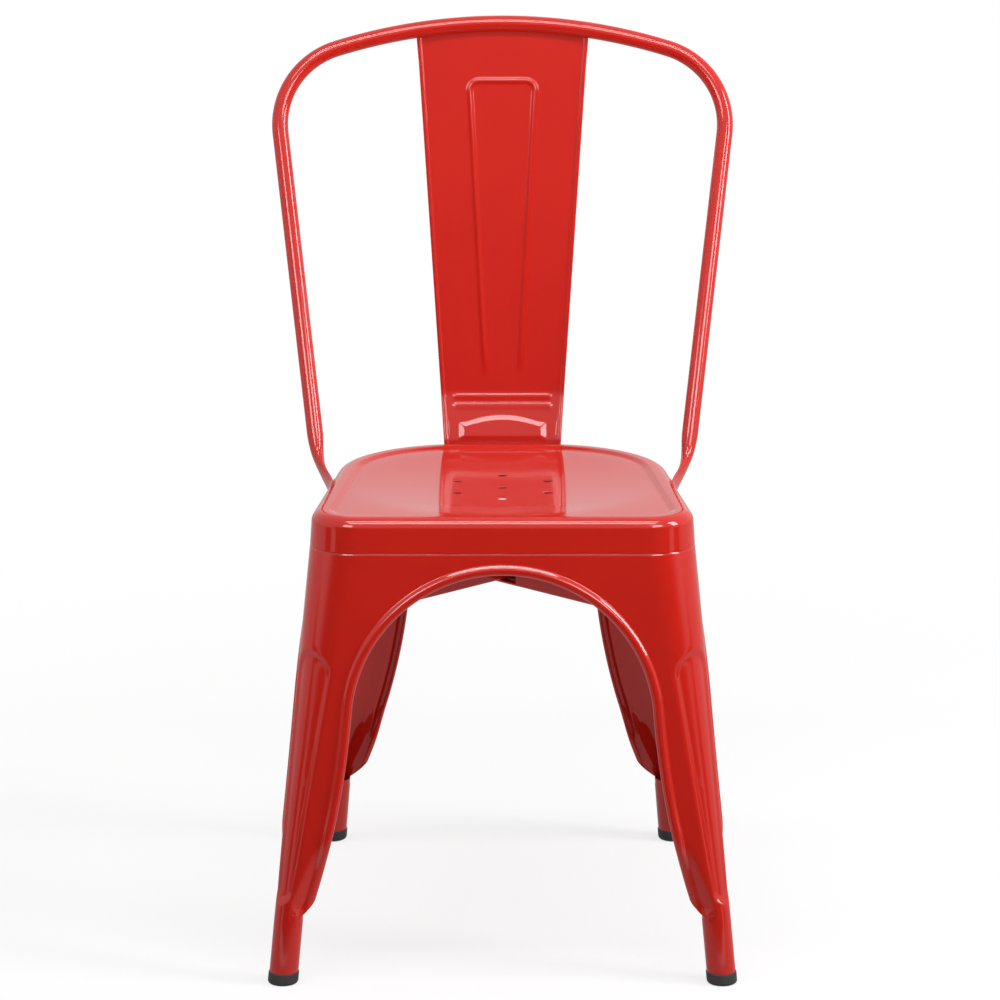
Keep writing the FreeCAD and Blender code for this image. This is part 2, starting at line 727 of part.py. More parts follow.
def rounded_path(points, radii):
    """A path through the points with an arc of each radius at each inner point."""
    edges = []
    start = points[0]
    for index, radius in enumerate(radii):
        corner = points[index + 1]
        back = points[index] - corner
        ahead = points[index + 2] - corner
        back.normalize()
        ahead.normalize()
        half = back.getAngle(ahead) / 2
        reach = radius / math.tan(half)
        enter = corner + back * reach
        leave = corner + ahead * reach
        centre_way = back + ahead
        centre_way.normalize()
        middle = corner + centre_way * (radius / math.sin(half) - radius)
        edges.append(line_edge(start, enter))
        edges.append(arc_edge(enter, middle, leave))
        start = leave
    edges.append(line_edge(start, points[-1]))
    return Part.Wire(edges)


def slat_band(front_offset, rear_offset):
    """The slat's side view swept across its width, between two offsets."""
    path = rounded_path(slat_corners(), [SLAT_BEND_RADIUS, SLAT_FOOT_RADIUS])
    first = path.Edges[0]
    way = first.tangentAt(first.FirstParameter)
    rearward = Vector(1, 0, 0).cross(way)
    if rearward.y < 0:
        rearward = rearward * -1
    start = path.Vertexes[0].Point
    half = SLAT_TOP_WIDTH / 2 + HEM_WIDTH
    corners = [
        start + Vector(-half, 0, 0) - rearward * front_offset,
        start + Vector(half, 0, 0) - rearward * front_offset,
        start + Vector(half, 0, 0) + rearward * rear_offset,
        start + Vector(-half, 0, 0) + rearward * rear_offset]
    profile = Part.makePolygon(corners + corners[:1])
    return path.makePipeShell([profile], True, False)


def slat_front_view(inset):
    """The slat's outline seen from the front, as a prism through its depth."""
    top_z = HOOP_TOP_HEIGHT
    foot_z = slat_corners()[-1].z - SHEET
    foot_depth = seat_point(0, 0, 0).z
    slope = (SLAT_TOP_WIDTH - SLAT_FOOT_WIDTH) / 2 / (top_z - foot_depth)
    top_half = SLAT_TOP_WIDTH / 2 - inset
    foot_half = SLAT_FOOT_WIDTH / 2 - (foot_depth - foot_z) * slope - inset
    points = [
        Vector(-foot_half, 0, foot_z), Vector(foot_half, 0, foot_z),
        Vector(top_half, 0, top_z), Vector(-top_half, 0, top_z)]
    prism = Part.Face(Part.makePolygon(points + points[:1])).extrude(Vector(0, FAR, 0))
    return prism


def slat_bead_prism():
    """The inverted U of the raised bead, open at the bottom."""
    half = SLAT_BEAD_WIDTH / 2

    def trapezoid(inset, bottom_drop):
        top_z = HOOP_TOP_HEIGHT - SLAT_BEAD_TOP_DROP - inset
        bottom_z = HOOP_TOP_HEIGHT - bottom_drop
        top = SLAT_BEAD_TOP_HALF_WIDTH - inset
        bottom = SLAT_BEAD_BOTTOM_HALF_WIDTH - inset
        points = [
            Vector(-bottom, 0, bottom_z), Vector(-top, 0, top_z),
            Vector(top, 0, top_z), Vector(bottom, 0, bottom_z)]
        wire = rounded_path(points, [SLAT_BEAD_CORNER - inset] * 2)
        closed = Part.Wire(wire.Edges + [line_edge(points[-1], points[0])])
        return Part.Face(closed).extrude(Vector(0, FAR, 0))

    outside = trapezoid(-half, SLAT_BEAD_BOTTOM_DROP)
    return outside.cut(trapezoid(half, SLAT_BEAD_BOTTOM_DROP + SHEET))


def make_back_slat(seat_outside):
    half = SHEET / 2
    sheet = slat_band(half, half).common(slat_front_view(0))
    hem_half = HEM_THICKNESS / 2
    hem_space = slat_front_view(0).cut(slat_front_view(HEM_WIDTH))
    hems = slat_band(hem_half, hem_half).common(hem_space)
    bead = slat_band(half + SLAT_BEAD_RISE, 0).common(slat_bead_prism())
    slat = sheet.fuse(hems).fuse(bead)
    tube_space = hoop_bar(HOOP_RADIUS + SLAT_TOP_GAP)
    top_limit = Vector(-FAR, -FAR, HOOP_TOP_HEIGHT - HOOP_RADIUS / 2)
    above = box_between(top_limit, Vector(FAR, FAR, FAR * 2))
    slat = slat.cut(tube_space).cut(above)
    return largest(slat.cut(seat_outside))


def largest(shape):
    """The largest solid of a shape, for cuts that leave a sliver behind."""
    return max(shape.Solids, key=lambda solid: solid.Volume)


def slat_top_bead(slat):
    """A bead behind the slat, along the underside of the hoop."""
    around = hoop_bar(HOOP_RADIUS + WELD_SIZE).cut(hoop_bar(HOOP_RADIUS + WELD_GAP))
    behind_slat = slat_band(-SHEET / 2, SHEET / 2 + 2 * WELD_SIZE)
    behind_slat = behind_slat.common(slat_front_view(HEM_WIDTH + WELD_SIZE))
    return around.common(behind_slat).cut(slat)


def slat_foot_beads(slat, seat_outside):
    """Fillet beads down both sides of the slat's tail, on the rear skirt."""
    near_skirt = skirt_prism(-WELD_SIZE, -SKIRT_DEPTH, -ROLL_RADIUS)
    beside = slat_front_view(-WELD_SIZE).cut(slat_front_view(0))
    strip = slat_band(HEM_THICKNESS, HEM_THICKNESS).common(beside)
    return strip.common(near_skirt).cut(seat_outside).cut(slat)


# Cross brace


def brace_channel(angle, lower_by, grow):
    """A channel strip, open at the top, through the middle at an angle."""
    half = BRACE_WIDTH / 2 + grow
    floor = BRACE_HEIGHT - lower_by
    outer_high = Vector(FAR, half, floor + BRACE_WALL_HEIGHT + grow)
    outer = box_between(Vector(-FAR, -half, floor - grow), outer_high)
    inner_half = BRACE_WIDTH / 2 - SHEET - grow
    low = Vector(-FAR, -inner_half, floor + SHEET + grow)
    high = Vector(FAR, inner_half, floor + BRACE_WALL_HEIGHT + 2 * grow + SHEET)
    channel = outer.cut(box_between(low, high))
    channel.rotate(Vector(0, 0, 0), Vector(0, 0, 1), angle)
    channel.translate(Vector(0, SEAT_Y + BRACE_BEHIND, 0))
    return channel


def make_braces():
    """Both strips: the lower one's walls are notched where the upper one crosses."""
    room = leg_body(SHEET + BRACE_END_GAP, SHEET)
    upper = brace_channel(BRACE_ANGLE, 0, 0).common(room)
    lower = brace_channel(-BRACE_ANGLE, BRACE_STEP, 0).common(room)
    half_notch = BRACE_WIDTH / 2 + (BRACE_WIDTH / 2 + SEAM_GAP) / deg_sin(2 * BRACE_ANGLE)
    floor = BRACE_HEIGHT - BRACE_STEP + SHEET
    notch = box_between(
        Vector(-half_notch, -BRACE_WIDTH, floor), Vector(half_notch, BRACE_WIDTH, floor + FAR))
    notch.rotate(Vector(0, 0, 0), Vector(0, 0, 1), -BRACE_ANGLE)
    notch.translate(Vector(0, SEAT_Y + BRACE_BEHIND, 0))
    return upper, lower.cut(notch)


def brace_end_beads(upper, lower):
    """Fillet beads where the four brace ends meet the insides of the legs."""
    skin = leg_body(SHEET, SHEET).cut(leg_body(SHEET + WELD_SIZE, SHEET))
    beads = []
    both = ((BRACE_ANGLE, 0, upper), (-BRACE_ANGLE, BRACE_STEP, lower))
    for angle, lower_by, strip in both:
        grown = brace_channel(angle, lower_by, WELD_SIZE / 2)
        beads.append(grown.common(skin).cut(strip))
    return Part.makeCompound(beads)


def brace_cross_bead():
    """The weld between the two strips' floors, where they cross."""
    low = BRACE_HEIGHT - BRACE_STEP + SHEET
    centre = Vector(0, SEAT_Y + BRACE_BEHIND, low)
    return Part.makeCylinder(BRACE_WIDTH / 4, BRACE_HEIGHT - low, centre)


# Seam and spot welds


def seam_bead(low, high):
    """A flat bead on the inside of the leg sheets, across a seam."""
    skin = leg_body(SHEET, SHEET).cut(leg_body(SHEET + WELD_SIZE / 2, SHEET))
    return skin.common(box_between(low, high))


def make_seam_beads():
    start = SEAT_DEPTH / 4
    front_top = seat_point(0, -SEAT_DEPTH / 2, -SKIRT_DEPTH).z - 2 * SHEET
    rear_top = seat_point(0, SEAT_DEPTH / 2, -SKIRT_DEPTH).z - 2 * SHEET
    side_top = seat_point(0, SIDE_SEAM_BEHIND, -SKIRT_DEPTH).z - 2 * SHEET
    front = seam_bead(
        Vector(-WELD_SIZE, -FAR, FRONT_CROWN_HEIGHT + BEAD_WIDTH),
        Vector(WELD_SIZE, SEAT_Y - start, front_top))
    rear = seam_bead(
        Vector(-WELD_SIZE, SEAT_Y + start, REAR_CROWN_HEIGHT + BEAD_WIDTH),
        Vector(WELD_SIZE, FAR, rear_top))
    side = seam_bead(
        Vector(start, SEAM_Y - WELD_SIZE, SIDE_CROWN_HEIGHT + BEAD_WIDTH),
        Vector(FAR, SEAM_Y + WELD_SIZE, side_top))
    return front, rear, Part.makeCompound([side, mirror_x(side)])


def make_spot_welds():
    """Nuggets between the skirt and the legs' tucked-in edge, two to each leg."""
    rise = -SKIRT_DEPTH + TUCK_HEIGHT / 2
    gap = skirt_prism(SHEET, -SKIRT_DEPTH, -ROLL_RADIUS)
    gap = gap.cut(skirt_prism(SHEET + SEAM_GAP, -SKIRT_DEPTH, -ROLL_RADIUS))
    nuggets = []
    reach = SEAT_DEPTH / 4
    for depth_sign in (-1, 1):
        centre = seat_point(reach, depth_sign * SEAT_DEPTH / 3, rise)
        rod = Part.makeCylinder(SPOT_RADIUS, FAR, centre, Vector(0, depth_sign, 0))
        nuggets.append(gap.common(rod))
        centre = seat_point(reach, depth_sign * reach, rise)
        rod = Part.makeCylinder(SPOT_RADIUS, FAR, centre, Vector(1, 0, 0))
        nuggets.append(gap.common(rod))
    return Part.makeCompound(nuggets + [mirror_x(nugget) for nugget in nuggets])


def main():
    os.makedirs("parts", exist_ok=True)
    seat_outside = rounded_block(0, -SKIRT_DEPTH)
    shell = make_leg_shell()
    pieces = {"seat_pan": make_seat_pan()}
    for front, front_name in ((True, "front"), (False, "rear")):
        for right, side_name in ((False, "left"), (True, "right")):
            pieces[front_name + "_" + side_name + "_leg"] = make_leg(shell, front, right)
            pieces[front_name + "_" + side_name + "_foot"] = make_foot(front, right)
    pieces["back_hoop"] = make_back_hoop(seat_outside)
    slat = make_back_slat(seat_outside)
    pieces["back_slat"] = slat
    upper, lower = make_braces()
    pieces["upper_brace_strip"] = upper
    pieces["lower_brace_strip"] = lower
    front, rear, side = make_seam_beads()
    pieces["front_seam_weld"] = front
    pieces["rear_seam_weld"] = rear
    pieces["side_seam_welds"] = side
    pieces["seat_spot_welds"] = make_spot_welds()
    pieces["hoop_end_welds"] = hoop_end_beads(seat_outside)
    pieces["slat_top_weld"] = slat_top_bead(slat)
    pieces["slat_foot_welds"] = slat_foot_beads(slat, seat_outside)
    pieces["brace_end_welds"] = brace_end_beads(upper, lower)
    pieces["brace_cross_weld"] = brace_cross_bead()
    for name, shape in pieces.items():
        shape.exportStep("parts/" + name + ".step")
        box = shape.BoundBox
        extents = (box.XMin, box.XMax, box.YMin, box.YMax, box.ZMin, box.ZMax)
        print(name, len(shape.Solids), "solids, valid:", shape.isValid())
        print("   ", [round(value, 1) for value in extents])


main()
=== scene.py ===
# %% [markdown]
# # A stacking dining chair of pressed sheet steel
#
# The real chair is a handful of steel pressings and one bent tube, welded together and coated
# in a thick, glossy red enamel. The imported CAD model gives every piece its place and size.
# This script keeps that frame and dresses it: each pressing is rebuilt with its rolled edges,
# soft recesses and beads, then painted and lit as in the photograph.

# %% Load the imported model
import math
from collections import namedtuple
from functools import partial

import bpy
import numpy as np
from mathutils.geometry import delaunay_2d_cdt
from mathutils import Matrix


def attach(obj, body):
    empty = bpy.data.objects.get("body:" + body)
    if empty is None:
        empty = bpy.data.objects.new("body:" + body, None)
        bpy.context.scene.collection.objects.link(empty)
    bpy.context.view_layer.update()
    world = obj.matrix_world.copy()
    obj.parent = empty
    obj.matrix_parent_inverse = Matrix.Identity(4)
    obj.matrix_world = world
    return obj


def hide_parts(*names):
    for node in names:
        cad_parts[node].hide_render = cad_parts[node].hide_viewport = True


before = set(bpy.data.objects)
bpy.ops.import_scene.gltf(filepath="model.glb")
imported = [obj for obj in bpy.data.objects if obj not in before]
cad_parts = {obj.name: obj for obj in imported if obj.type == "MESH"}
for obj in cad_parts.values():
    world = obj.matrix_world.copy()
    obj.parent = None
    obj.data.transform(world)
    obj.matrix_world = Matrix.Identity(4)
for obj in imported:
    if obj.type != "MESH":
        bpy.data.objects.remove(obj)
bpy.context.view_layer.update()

# %% [markdown]
# ## The camera
#
# The photograph was taken with a long lens from about six metres away and a little above the
# back of the chair. A long lens far off flattens the perspective, which is why the legs look
# almost parallel. The camera is made first, so every later choice can be judged through it.

# %% Place the camera
CAMERA_PLACE = (0.0, -6.02665, 2.1198)
CAMERA_DOWN = 0.2755
CAMERA_LENS = 230.547
CAMERA_SHIFT = -0.0025


def into_scene(name, data):
    """A new object in the scene that shows some data."""
    item = bpy.data.objects.new(name, data)
    bpy.context.scene.collection.objects.link(item)
    return item


camera_data = bpy.data.cameras.new("photo_camera")
camera_data.sensor_width = 36.0
camera_data.lens = CAMERA_LENS
camera_data.shift_x = CAMERA_SHIFT
camera = into_scene("photo_camera", camera_data)
camera.location = CAMERA_PLACE
camera.rotation_euler = (math.pi / 2 - CAMERA_DOWN, 0.0, 0.0)
bpy.context.scene.camera = camera
print("camera looks down by", round(math.degrees(CAMERA_DOWN), 1), "degrees")

# %% [markdown]
# ## Dimensions
#
# These are the chair's own sizes in millimetres, the same that the CAD model was built from.
# Working from a few named sizes, instead of from points, means that the outlines of the seat
# and of the legs can be worked out anywhere, and always agree with each other.

# %% Name the sizes
SHEET = 1.2
SEAM_GAP = 0.3
SEAT_HEIGHT = 444.5
SEAT_TILT = math.radians(2.9)
SEAT_DEPTH = 343.0
SEAT_FRONT_WIDTH = 375.0
SEAT_REAR_WIDTH = 298.5
SIDE_SLOPE = (SEAT_FRONT_WIDTH - SEAT_REAR_WIDTH) / 2 / SEAT_DEPTH
FRONT_CORNER = 45.0
REAR_CORNER = 125.0
REAR_BOW = 2000.0
ROLL = 11.0
SKIRT = 33.0
FLARE = 1.5
TUBE = 14.0
TUBE_TOP = 62.0
# A foot's place is its x, its depth from the seat's middle, its splay and its rake.
FRONT_FOOT = (211.0, -204.0, math.radians(5.4), math.radians(5.8))
REAR_FOOT = (174.5, 225.5, math.radians(4.6), math.radians(9.2))
FOOT_RADIUS = 14.7
HOOP_BEHIND = 264.0
HOOP_RADIUS = 8.0
SEAT_Y = (-FRONT_FOOT[1] + FOOT_RADIUS - HOOP_BEHIND - HOOP_RADIUS) / 2
SEAM_Y = SEAT_Y + 3.0
print("the seat's middle is", round(-SEAT_Y, 2), "mm ahead of the origin")

# %% [markdown]
# ## Outlines
#
# Seen from above, the seat is a rounded shape of five runs on each side: a straight front, a
# front corner, a straight side, a wide rear corner and a nearly straight rear edge. The legs'
# sheets are stretched between that outline and a second one round the four leg tubes. Giving
# both outlines the same position numbers, 0 at the middle of the front and 5 at the middle of
# the rear, lets one function find any point of the leg sheets.


# %% Describe an outline by its five runs
class Outline:
    """Half an outline: a run is (start, end), or (centre, radius, first angle, last angle)."""

    def __init__(self, front_y, front_centre, front_radius, rear_centre, rear_radius,
                 normal, rear_y, bow=None):
        side, last = math.atan2(normal[1], normal[0]), math.pi / 2
        rear_run = ((rear_centre[0], rear_y), (0.0, rear_y))
        if bow:
            middle = (0.0, rear_y - bow)
            last = math.atan2(rear_centre[1] - middle[1], rear_centre[0])
            rear_run = (middle, bow, last, math.pi / 2)
        self.runs = [
            ((0.0, front_y), (front_centre[0], front_y)),
            (front_centre, front_radius, -math.pi / 2, side),
            (front_centre + normal * front_radius, rear_centre + normal * rear_radius),
            (rear_centre, rear_radius, side, last),
            rear_run]

    def at(self, u):
        """Points for position numbers from 0, middle front, to 5, middle rear."""
        u = np.asarray(u, float)
        index = np.clip(u.astype(int), 0, 4)
        x, y = np.zeros(u.shape), np.zeros(u.shape)
        for number, run in enumerate(self.runs):
            here = index == number
            share = u[here] - number
            if len(run) == 2:
                (x0, y0), (x1, y1) = run
                x[here] = x0 + (x1 - x0) * share
                y[here] = y0 + (y1 - y0) * share
            else:
                centre, radius, first, last = run
                angle = first + (last - first) * share
                x[here] = centre[0] + radius * np.cos(angle)
                y[here] = centre[1] + radius * np.sin(angle)
        return x, y


def seat_outline(grow):
    """The seat's outline in its own plane, offset outward by grow."""
    normal = np.array([1.0, SIDE_SLOPE]) / math.hypot(1.0, SIDE_SLOPE)
    along = np.array([-normal[1], normal[0]])
    half = SEAT_DEPTH / 2
    corner = np.array([SEAT_FRONT_WIDTH / 2, -half])
    front_y = FRONT_CORNER - half
    reach = corner @ normal - FRONT_CORNER
    front_centre = np.array([(reach - front_y * normal[1]) / normal[0], front_y])
    base = normal * (corner @ normal - REAR_CORNER)
    offset = base - np.array([0.0, half - REAR_BOW])
    half_b = offset @ along
    rest = offset @ offset - (REAR_BOW - REAR_CORNER) ** 2
    rear_centre = base + along * (math.sqrt(half_b ** 2 - rest) - half_b)
    return Outline(-half - grow, front_centre, FRONT_CORNER + grow, rear_centre,
                   REAR_CORNER + grow, normal, half + grow, REAR_BOW + grow)


def foot_centre(foot, height):
    """Where a right-hand leg tube's axis is at a height."""
    x, depth, splay, rake = foot
    lean = math.copysign(math.tan(rake), depth)
    return x - height * math.tan(splay), SEAT_Y + depth - height * lean


def foot_outline():
    """The outline round the four leg tubes at the height of their tops."""
    front = np.array(foot_centre(FRONT_FOOT, TUBE_TOP))
    rear = np.array(foot_centre(REAR_FOOT, TUBE_TOP))
    along = rear - front
    normal = np.array([along[1], -along[0]]) / math.hypot(*along)
    return Outline(front[1] - TUBE, front, TUBE, rear, TUBE, normal, rear[1] + TUBE)


def on_seat(x, depth, rise):
    """Points given in the seat's own plane, which leans back, as points of the frame."""
    x, depth, rise = np.broadcast_arrays(x, depth, rise)
    y = SEAT_Y + depth * math.cos(SEAT_TILT) + rise * math.sin(SEAT_TILT)
    z = SEAT_HEIGHT - depth * math.sin(SEAT_TILT) + rise * math.cos(SEAT_TILT)
    return np.stack([x, y, z], axis=-1)


def flare_at(rise):
    """How far the skirt stands out below the roll, at a height from the seat's top."""
    return FLARE * (-rise - ROLL) / (SKIRT - ROLL)


LEG_TOP = seat_outline(FLARE)
LEG_FOOT = foot_outline()
LEG_TOP_RISE = -SKIRT - SEAM_GAP


def body_top(u):
    """Points of the leg sheets' upper edge."""
    return on_seat(*LEG_TOP.at(u), LEG_TOP_RISE)


def body_point(u, z):
    """A point of the right half of the body that the leg sheets wrap."""
    top = body_top(u)
    x, y = LEG_FOOT.at(u)
    foot = np.stack([x, y, np.full(x.shape, TUBE_TOP)], axis=-1)
    share = (z - TUBE_TOP) / (top[..., 2] - TUBE_TOP)
    return foot + (top - foot) * share[..., None]


print("front corner of the seat:", [round(v, 1) for v in seat_outline(0).runs[1][0]])

# %% [markdown]
# ## Turning points into pieces
#
# Pressed metal is smooth, so each piece is a mesh of worked-out points whose shading normals
# are worked out too. A pressing is made as one skin, then given its thickness by a second skin
# behind it and a small half-round rim between them, the way a sheared and deburred edge looks.

# %% Helpers for numbers and points
MIRROR = np.array([-1.0, 1.0, 1.0])
MERGE_PER_MM = 1000
RIM_BULGE = 0.4


def unit(vectors):
    length = np.linalg.norm(vectors, axis=-1, keepdims=True)
    return vectors / np.maximum(length, 1e-9)


def smooth(value, start, end):
    """From 0 at start to 1 at end, with no corners."""
    share = np.clip((value - start) / (end - start), 0, 1)
    return share * share * (3 - 2 * share)


def softened(value, soft):
    """The value where it is above 0, else 0, with a soft bend between the two."""
    return (value + np.sqrt(value ** 2 + soft ** 2)) / 2


def runs(*steps, end):
    """Numbers in evenly spaced runs, each given as (start, count)."""
    stops = [start for start, _ in steps[1:]] + [end]
    return np.concatenate([np.linspace(start, stop, count, endpoint=stop == end)
                           for (start, count), stop in zip(steps, stops)])


def unit_circle(count):
    angle = np.linspace(0, 2 * math.pi, count, endpoint=False)
    return np.stack([np.cos(angle), np.sin(angle)], axis=1)


def lattice(low, high, step):
    """Points of a square lattice, in rows."""
    columns, rows = (np.arange(low[n], high[n], step) for n in (0, 1))
    return np.stack(np.meshgrid(columns, rows), axis=-1).reshape(-1, 2)


def both_halves(right):
    """A closed loop from its right half, which starts and ends at the middle."""
    return np.concatenate([right, right[-2:0:-1] * MIRROR[:right.shape[-1]]])


print("points closer than", 1 / MERGE_PER_MM, "mm will be merged")


# %% Helpers for skins, thickness and finished objects
def grid_faces(rows, columns, wrap_rows=False, wrap_columns=False):
    row = np.arange(rows if wrap_rows else rows - 1)
    column = np.arange(columns if wrap_columns else columns - 1)
    i, j = np.meshgrid(row, column, indexing="ij")
    i, j = i.ravel(), j.ravel()
    i2, j2 = (i + 1) % rows, (j + 1) % columns
    quads = [i * columns + j, i2 * columns + j, i2 * columns + j2, i * columns + j2]
    return [tuple(face) for face in np.stack(quads, axis=1).tolist()]


def grid_skin(points, place, toward, wrap_rows=False, wrap_columns=False):
    """A grid's points, normals and faces, turned so that one place of it faces a way."""
    def slope(axis, wrap):
        if not wrap:
            return np.gradient(points, axis=axis)
        return np.roll(points, -1, axis) - np.roll(points, 1, axis)
    normals = unit(np.cross(slope(0, wrap_rows), slope(1, wrap_columns)))
    faces = grid_faces(*points.shape[:2], wrap_rows, wrap_columns)
    if (normals[place] * toward).sum() < 0:
        normals, faces = -normals, [face[::-1] for face in faces]
    return points, normals, faces


def capped_tube(points, place, toward):
    """A tube made of rings, with a lid on both of its ends."""
    points, normals, faces = grid_skin(points, place, toward, wrap_columns=True)
    rows, columns = points.shape[:2]
    edges = {(face[n - 1], face[n]) for face in faces for n in range(len(face))}
    for start in (0, (rows - 1) * columns):
        lid = tuple(range(start, start + columns))
        faces.append(lid[::-1] if lid[:2] in edges else lid)
    return points, normals, faces


def together(*skins):
    """Several (points, normals, faces) in one, without merging their points."""
    points, normals, faces, start = [], [], [], 0
    for skin_points, skin_normals, skin_faces in skins:
        points.append(skin_points.reshape(-1, 3))
        normals.append(skin_normals.reshape(-1, 3))
        faces += [tuple(v + start for v in face) for face in skin_faces]
        start += len(points[-1])
    return np.concatenate(points), np.concatenate(normals), faces


def joined(*skins):
    """Several skins in one, with the points that they share merged."""
    points, normals, faces = together(*skins)
    keys = np.round(points * MERGE_PER_MM).astype(np.int64)
    _, first, place = np.unique(keys, axis=0, return_index=True, return_inverse=True)
    place = place.ravel()
    kept = []
    for face in faces:
        face = [int(place[v]) for v in face]
        face = [v for n, v in enumerate(face) if v != face[n - 1]]
        if len(set(face)) > 2:
            kept.append(tuple(face))
    return points[first], normals[first], kept


def thickened(skin):
    """A closed wall of sheet from an open skin, with a half-round rim along its edges."""
    points, normals, faces = skin
    count = len(points)
    sides = dict.fromkeys((face[n - 1], v) for face in faces for n, v in enumerate(face))
    rim = [(a, b) for a, b in sides if (b, a) not in sides]
    outward = np.zeros(points.shape)
    for a, b in rim:
        way = unit(np.cross(points[b] - points[a], normals[a] + normals[b]))
        outward[a] += way
        outward[b] += way
    edge = sorted({v for pair in rim for v in pair})
    outward = unit(outward[edge])
    slot = {v: 2 * count + n for n, v in enumerate(edge)}
    middle = points[edge] - normals[edge] * (SHEET / 2) + outward * (SHEET * RIM_BULGE)
    all_points = np.concatenate([points, points - normals * SHEET, middle])
    all_normals = np.concatenate([normals, -normals, outward])
    all_faces = list(faces) + [tuple(v + count for v in face[::-1]) for face in faces]
    for a, b in rim:
        all_faces.append((b, a, slot[a], slot[b]))
        all_faces.append((slot[b], slot[a], a + count, b + count))
    return all_points, all_normals, all_faces


def mirrored(skin):
    points, normals, faces = skin
    return points * MIRROR, normals * MIRROR, [face[::-1] for face in faces]


def hand_over(piece, nodes):
    """Let an object ride on the chair and stand for its CAD nodes."""
    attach(piece, "root")
    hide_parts(*nodes)
    print(piece.name, "has", len(piece.data.polygons), "faces")


def make_piece(name, skin, slot, nodes):
    """A finished object from a skin in millimetres."""
    points, normals, faces = skin
    mesh = bpy.data.meshes.new(name)
    mesh.from_pydata((points.reshape(-1, 3) / 1000).tolist(), [], faces)
    mesh.polygons.foreach_set("use_smooth", [True] * len(mesh.polygons))
    mesh.normals_split_custom_set_from_vertices(unit(normals.reshape(-1, 3)).tolist())
    mesh.materials.append(finishes[slot])
    hand_over(into_scene(name, mesh), nodes)


print("sheet rims bulge by", SHEET * RIM_BULGE, "mm")

# %% [markdown]
# ## Finishes
#
# The enamel is a thick powder coat: deep red, very glossy, with the faint ripple that such
# coats dry with. The feet are matt rubber. Both have the same kinds of unevenness, only of other
# sizes, so one node group makes them: broad patches of a second colour, a change of gloss from
# place to place, and a fine relief. The shader stays in each material, where its own values are.

# %% Helpers for node trees
NODES_PER_COLUMN = 4


def wire(tree, node, inputs):
    """Link each input of a node to a socket, or give it a value."""
    for name, source in inputs.items():
        if isinstance(source, bpy.types.NodeSocket):
            tree.links.new(source, node.inputs[name])
        else:
            node.inputs[name].default_value = source


def add_node(tree, kind, inputs=None, **settings):
    """A node with its settings and inputs, next to the ones before it."""
    column, row = divmod(len(tree.nodes), NODES_PER_COLUMN)
    node = tree.nodes.new(kind)
    node.location = (220 * column, -300 * row)
    for name, value in settings.items():
        setattr(node, name, value)
    wire(tree, node, inputs or {})
    return node


def result(*node_values, **settings):
    """The first output of a new node."""
    return add_node(*node_values, **settings).outputs[0]


def maths(tree, operation, *values):
    return result(tree, "ShaderNodeMath", dict(enumerate(values)), operation=operation)


def ramp(tree, value, first, last, low=0.0, high=1.0, bend="SMOOTHSTEP"):
    """From low to high while the value goes from first to last."""
    inputs = {"Value": value, "From Min": first, "From Max": last, "To Min": low, "To Max": high}
    return result(tree, "ShaderNodeMapRange", inputs, interpolation_type=bend)


def blend_colours(tree, share, first, second):
    node = add_node(tree, "ShaderNodeMix", {0: share, 6: first, 7: second}, data_type="RGBA")
    return node.outputs[2]


def add_sockets(tree, side, kinds):
    for name, kind in kinds.items():
        tree.interface.new_socket(name, in_out=side, socket_type="NodeSocket" + kind)


print("node helpers are ready")


# %% Build the shared surface group and the two finishes
PATCH_RANGE = (0.35, 0.65)


def make_uneven_surface():
    tree = bpy.data.node_groups.new("uneven_surface", "ShaderNodeTree")
    add_sockets(tree, "INPUT", {
        "Colour": "Color", "Patch Colour": "Color", "Patch Size": "Float", "Gloss Low": "Float",
        "Gloss High": "Float", "Relief Size": "Float", "Relief Height": "Float"})
    add_sockets(tree, "OUTPUT", {"Color": "Color", "Roughness": "Float", "Normal": "Vector"})
    given = add_node(tree, "NodeGroupInput").outputs
    place = add_node(tree, "ShaderNodeTexCoord").outputs["Object"]

    def noise(size, detail):
        scale = maths(tree, "DIVIDE", 1.0, given[size])
        inputs = {"Vector": place, "Scale": scale, "Detail": detail}
        return add_node(tree, "ShaderNodeTexNoise", inputs).outputs["Fac"]

    patches = noise("Patch Size", 3.0)
    spread = ramp(tree, patches, *PATCH_RANGE, bend="LINEAR")
    gloss = ramp(tree, patches, 0.0, 1.0, given["Gloss Low"], given["Gloss High"], "LINEAR")
    bump = result(tree, "ShaderNodeBump", {
        "Strength": 1.0, "Distance": given["Relief Height"], "Height": noise("Relief Size", 2.0)})
    colour = blend_colours(tree, spread, given["Colour"], given["Patch Colour"])
    add_node(tree, "NodeGroupOutput", {"Color": colour, "Roughness": gloss, "Normal": bump})
    return tree


uneven_surface = make_uneven_surface()


def make_finish(name, specular, values):
    material = bpy.data.materials.new(name)
    material.use_nodes = True
    tree = material.node_tree
    surface = add_node(tree, "ShaderNodeGroup", node_tree=uneven_surface)
    wire(tree, surface, values)
    wire(tree, tree.nodes["Principled BSDF"], {
        "Specular IOR Level": specular, "Base Color": surface.outputs["Color"],
        "Roughness": surface.outputs["Roughness"], "Normal": surface.outputs["Normal"]})
    material.diffuse_color = values["Colour"]
    return material


finishes = {
    "enamel": make_finish("red_enamel", 0.5, {
        "Colour": (0.60, 0.017, 0.009, 1), "Patch Colour": (0.58, 0.015, 0.008, 1),
        "Patch Size": 0.12, "Gloss Low": 0.07, "Gloss High": 0.10,
        "Relief Size": 0.007, "Relief Height": 0.000008}),
    "rubber": make_finish("foot_rubber", 0.4, {
        "Colour": (0.030, 0.028, 0.030, 1), "Patch Colour": (0.040, 0.037, 0.039, 1),
        "Patch Size": 0.006, "Gloss Low": 0.55, "Gloss High": 0.75,
        "Relief Size": 0.0007, "Relief Height": 0.00006})}
print("finishes:", *(finish.name for finish in finishes.values()))

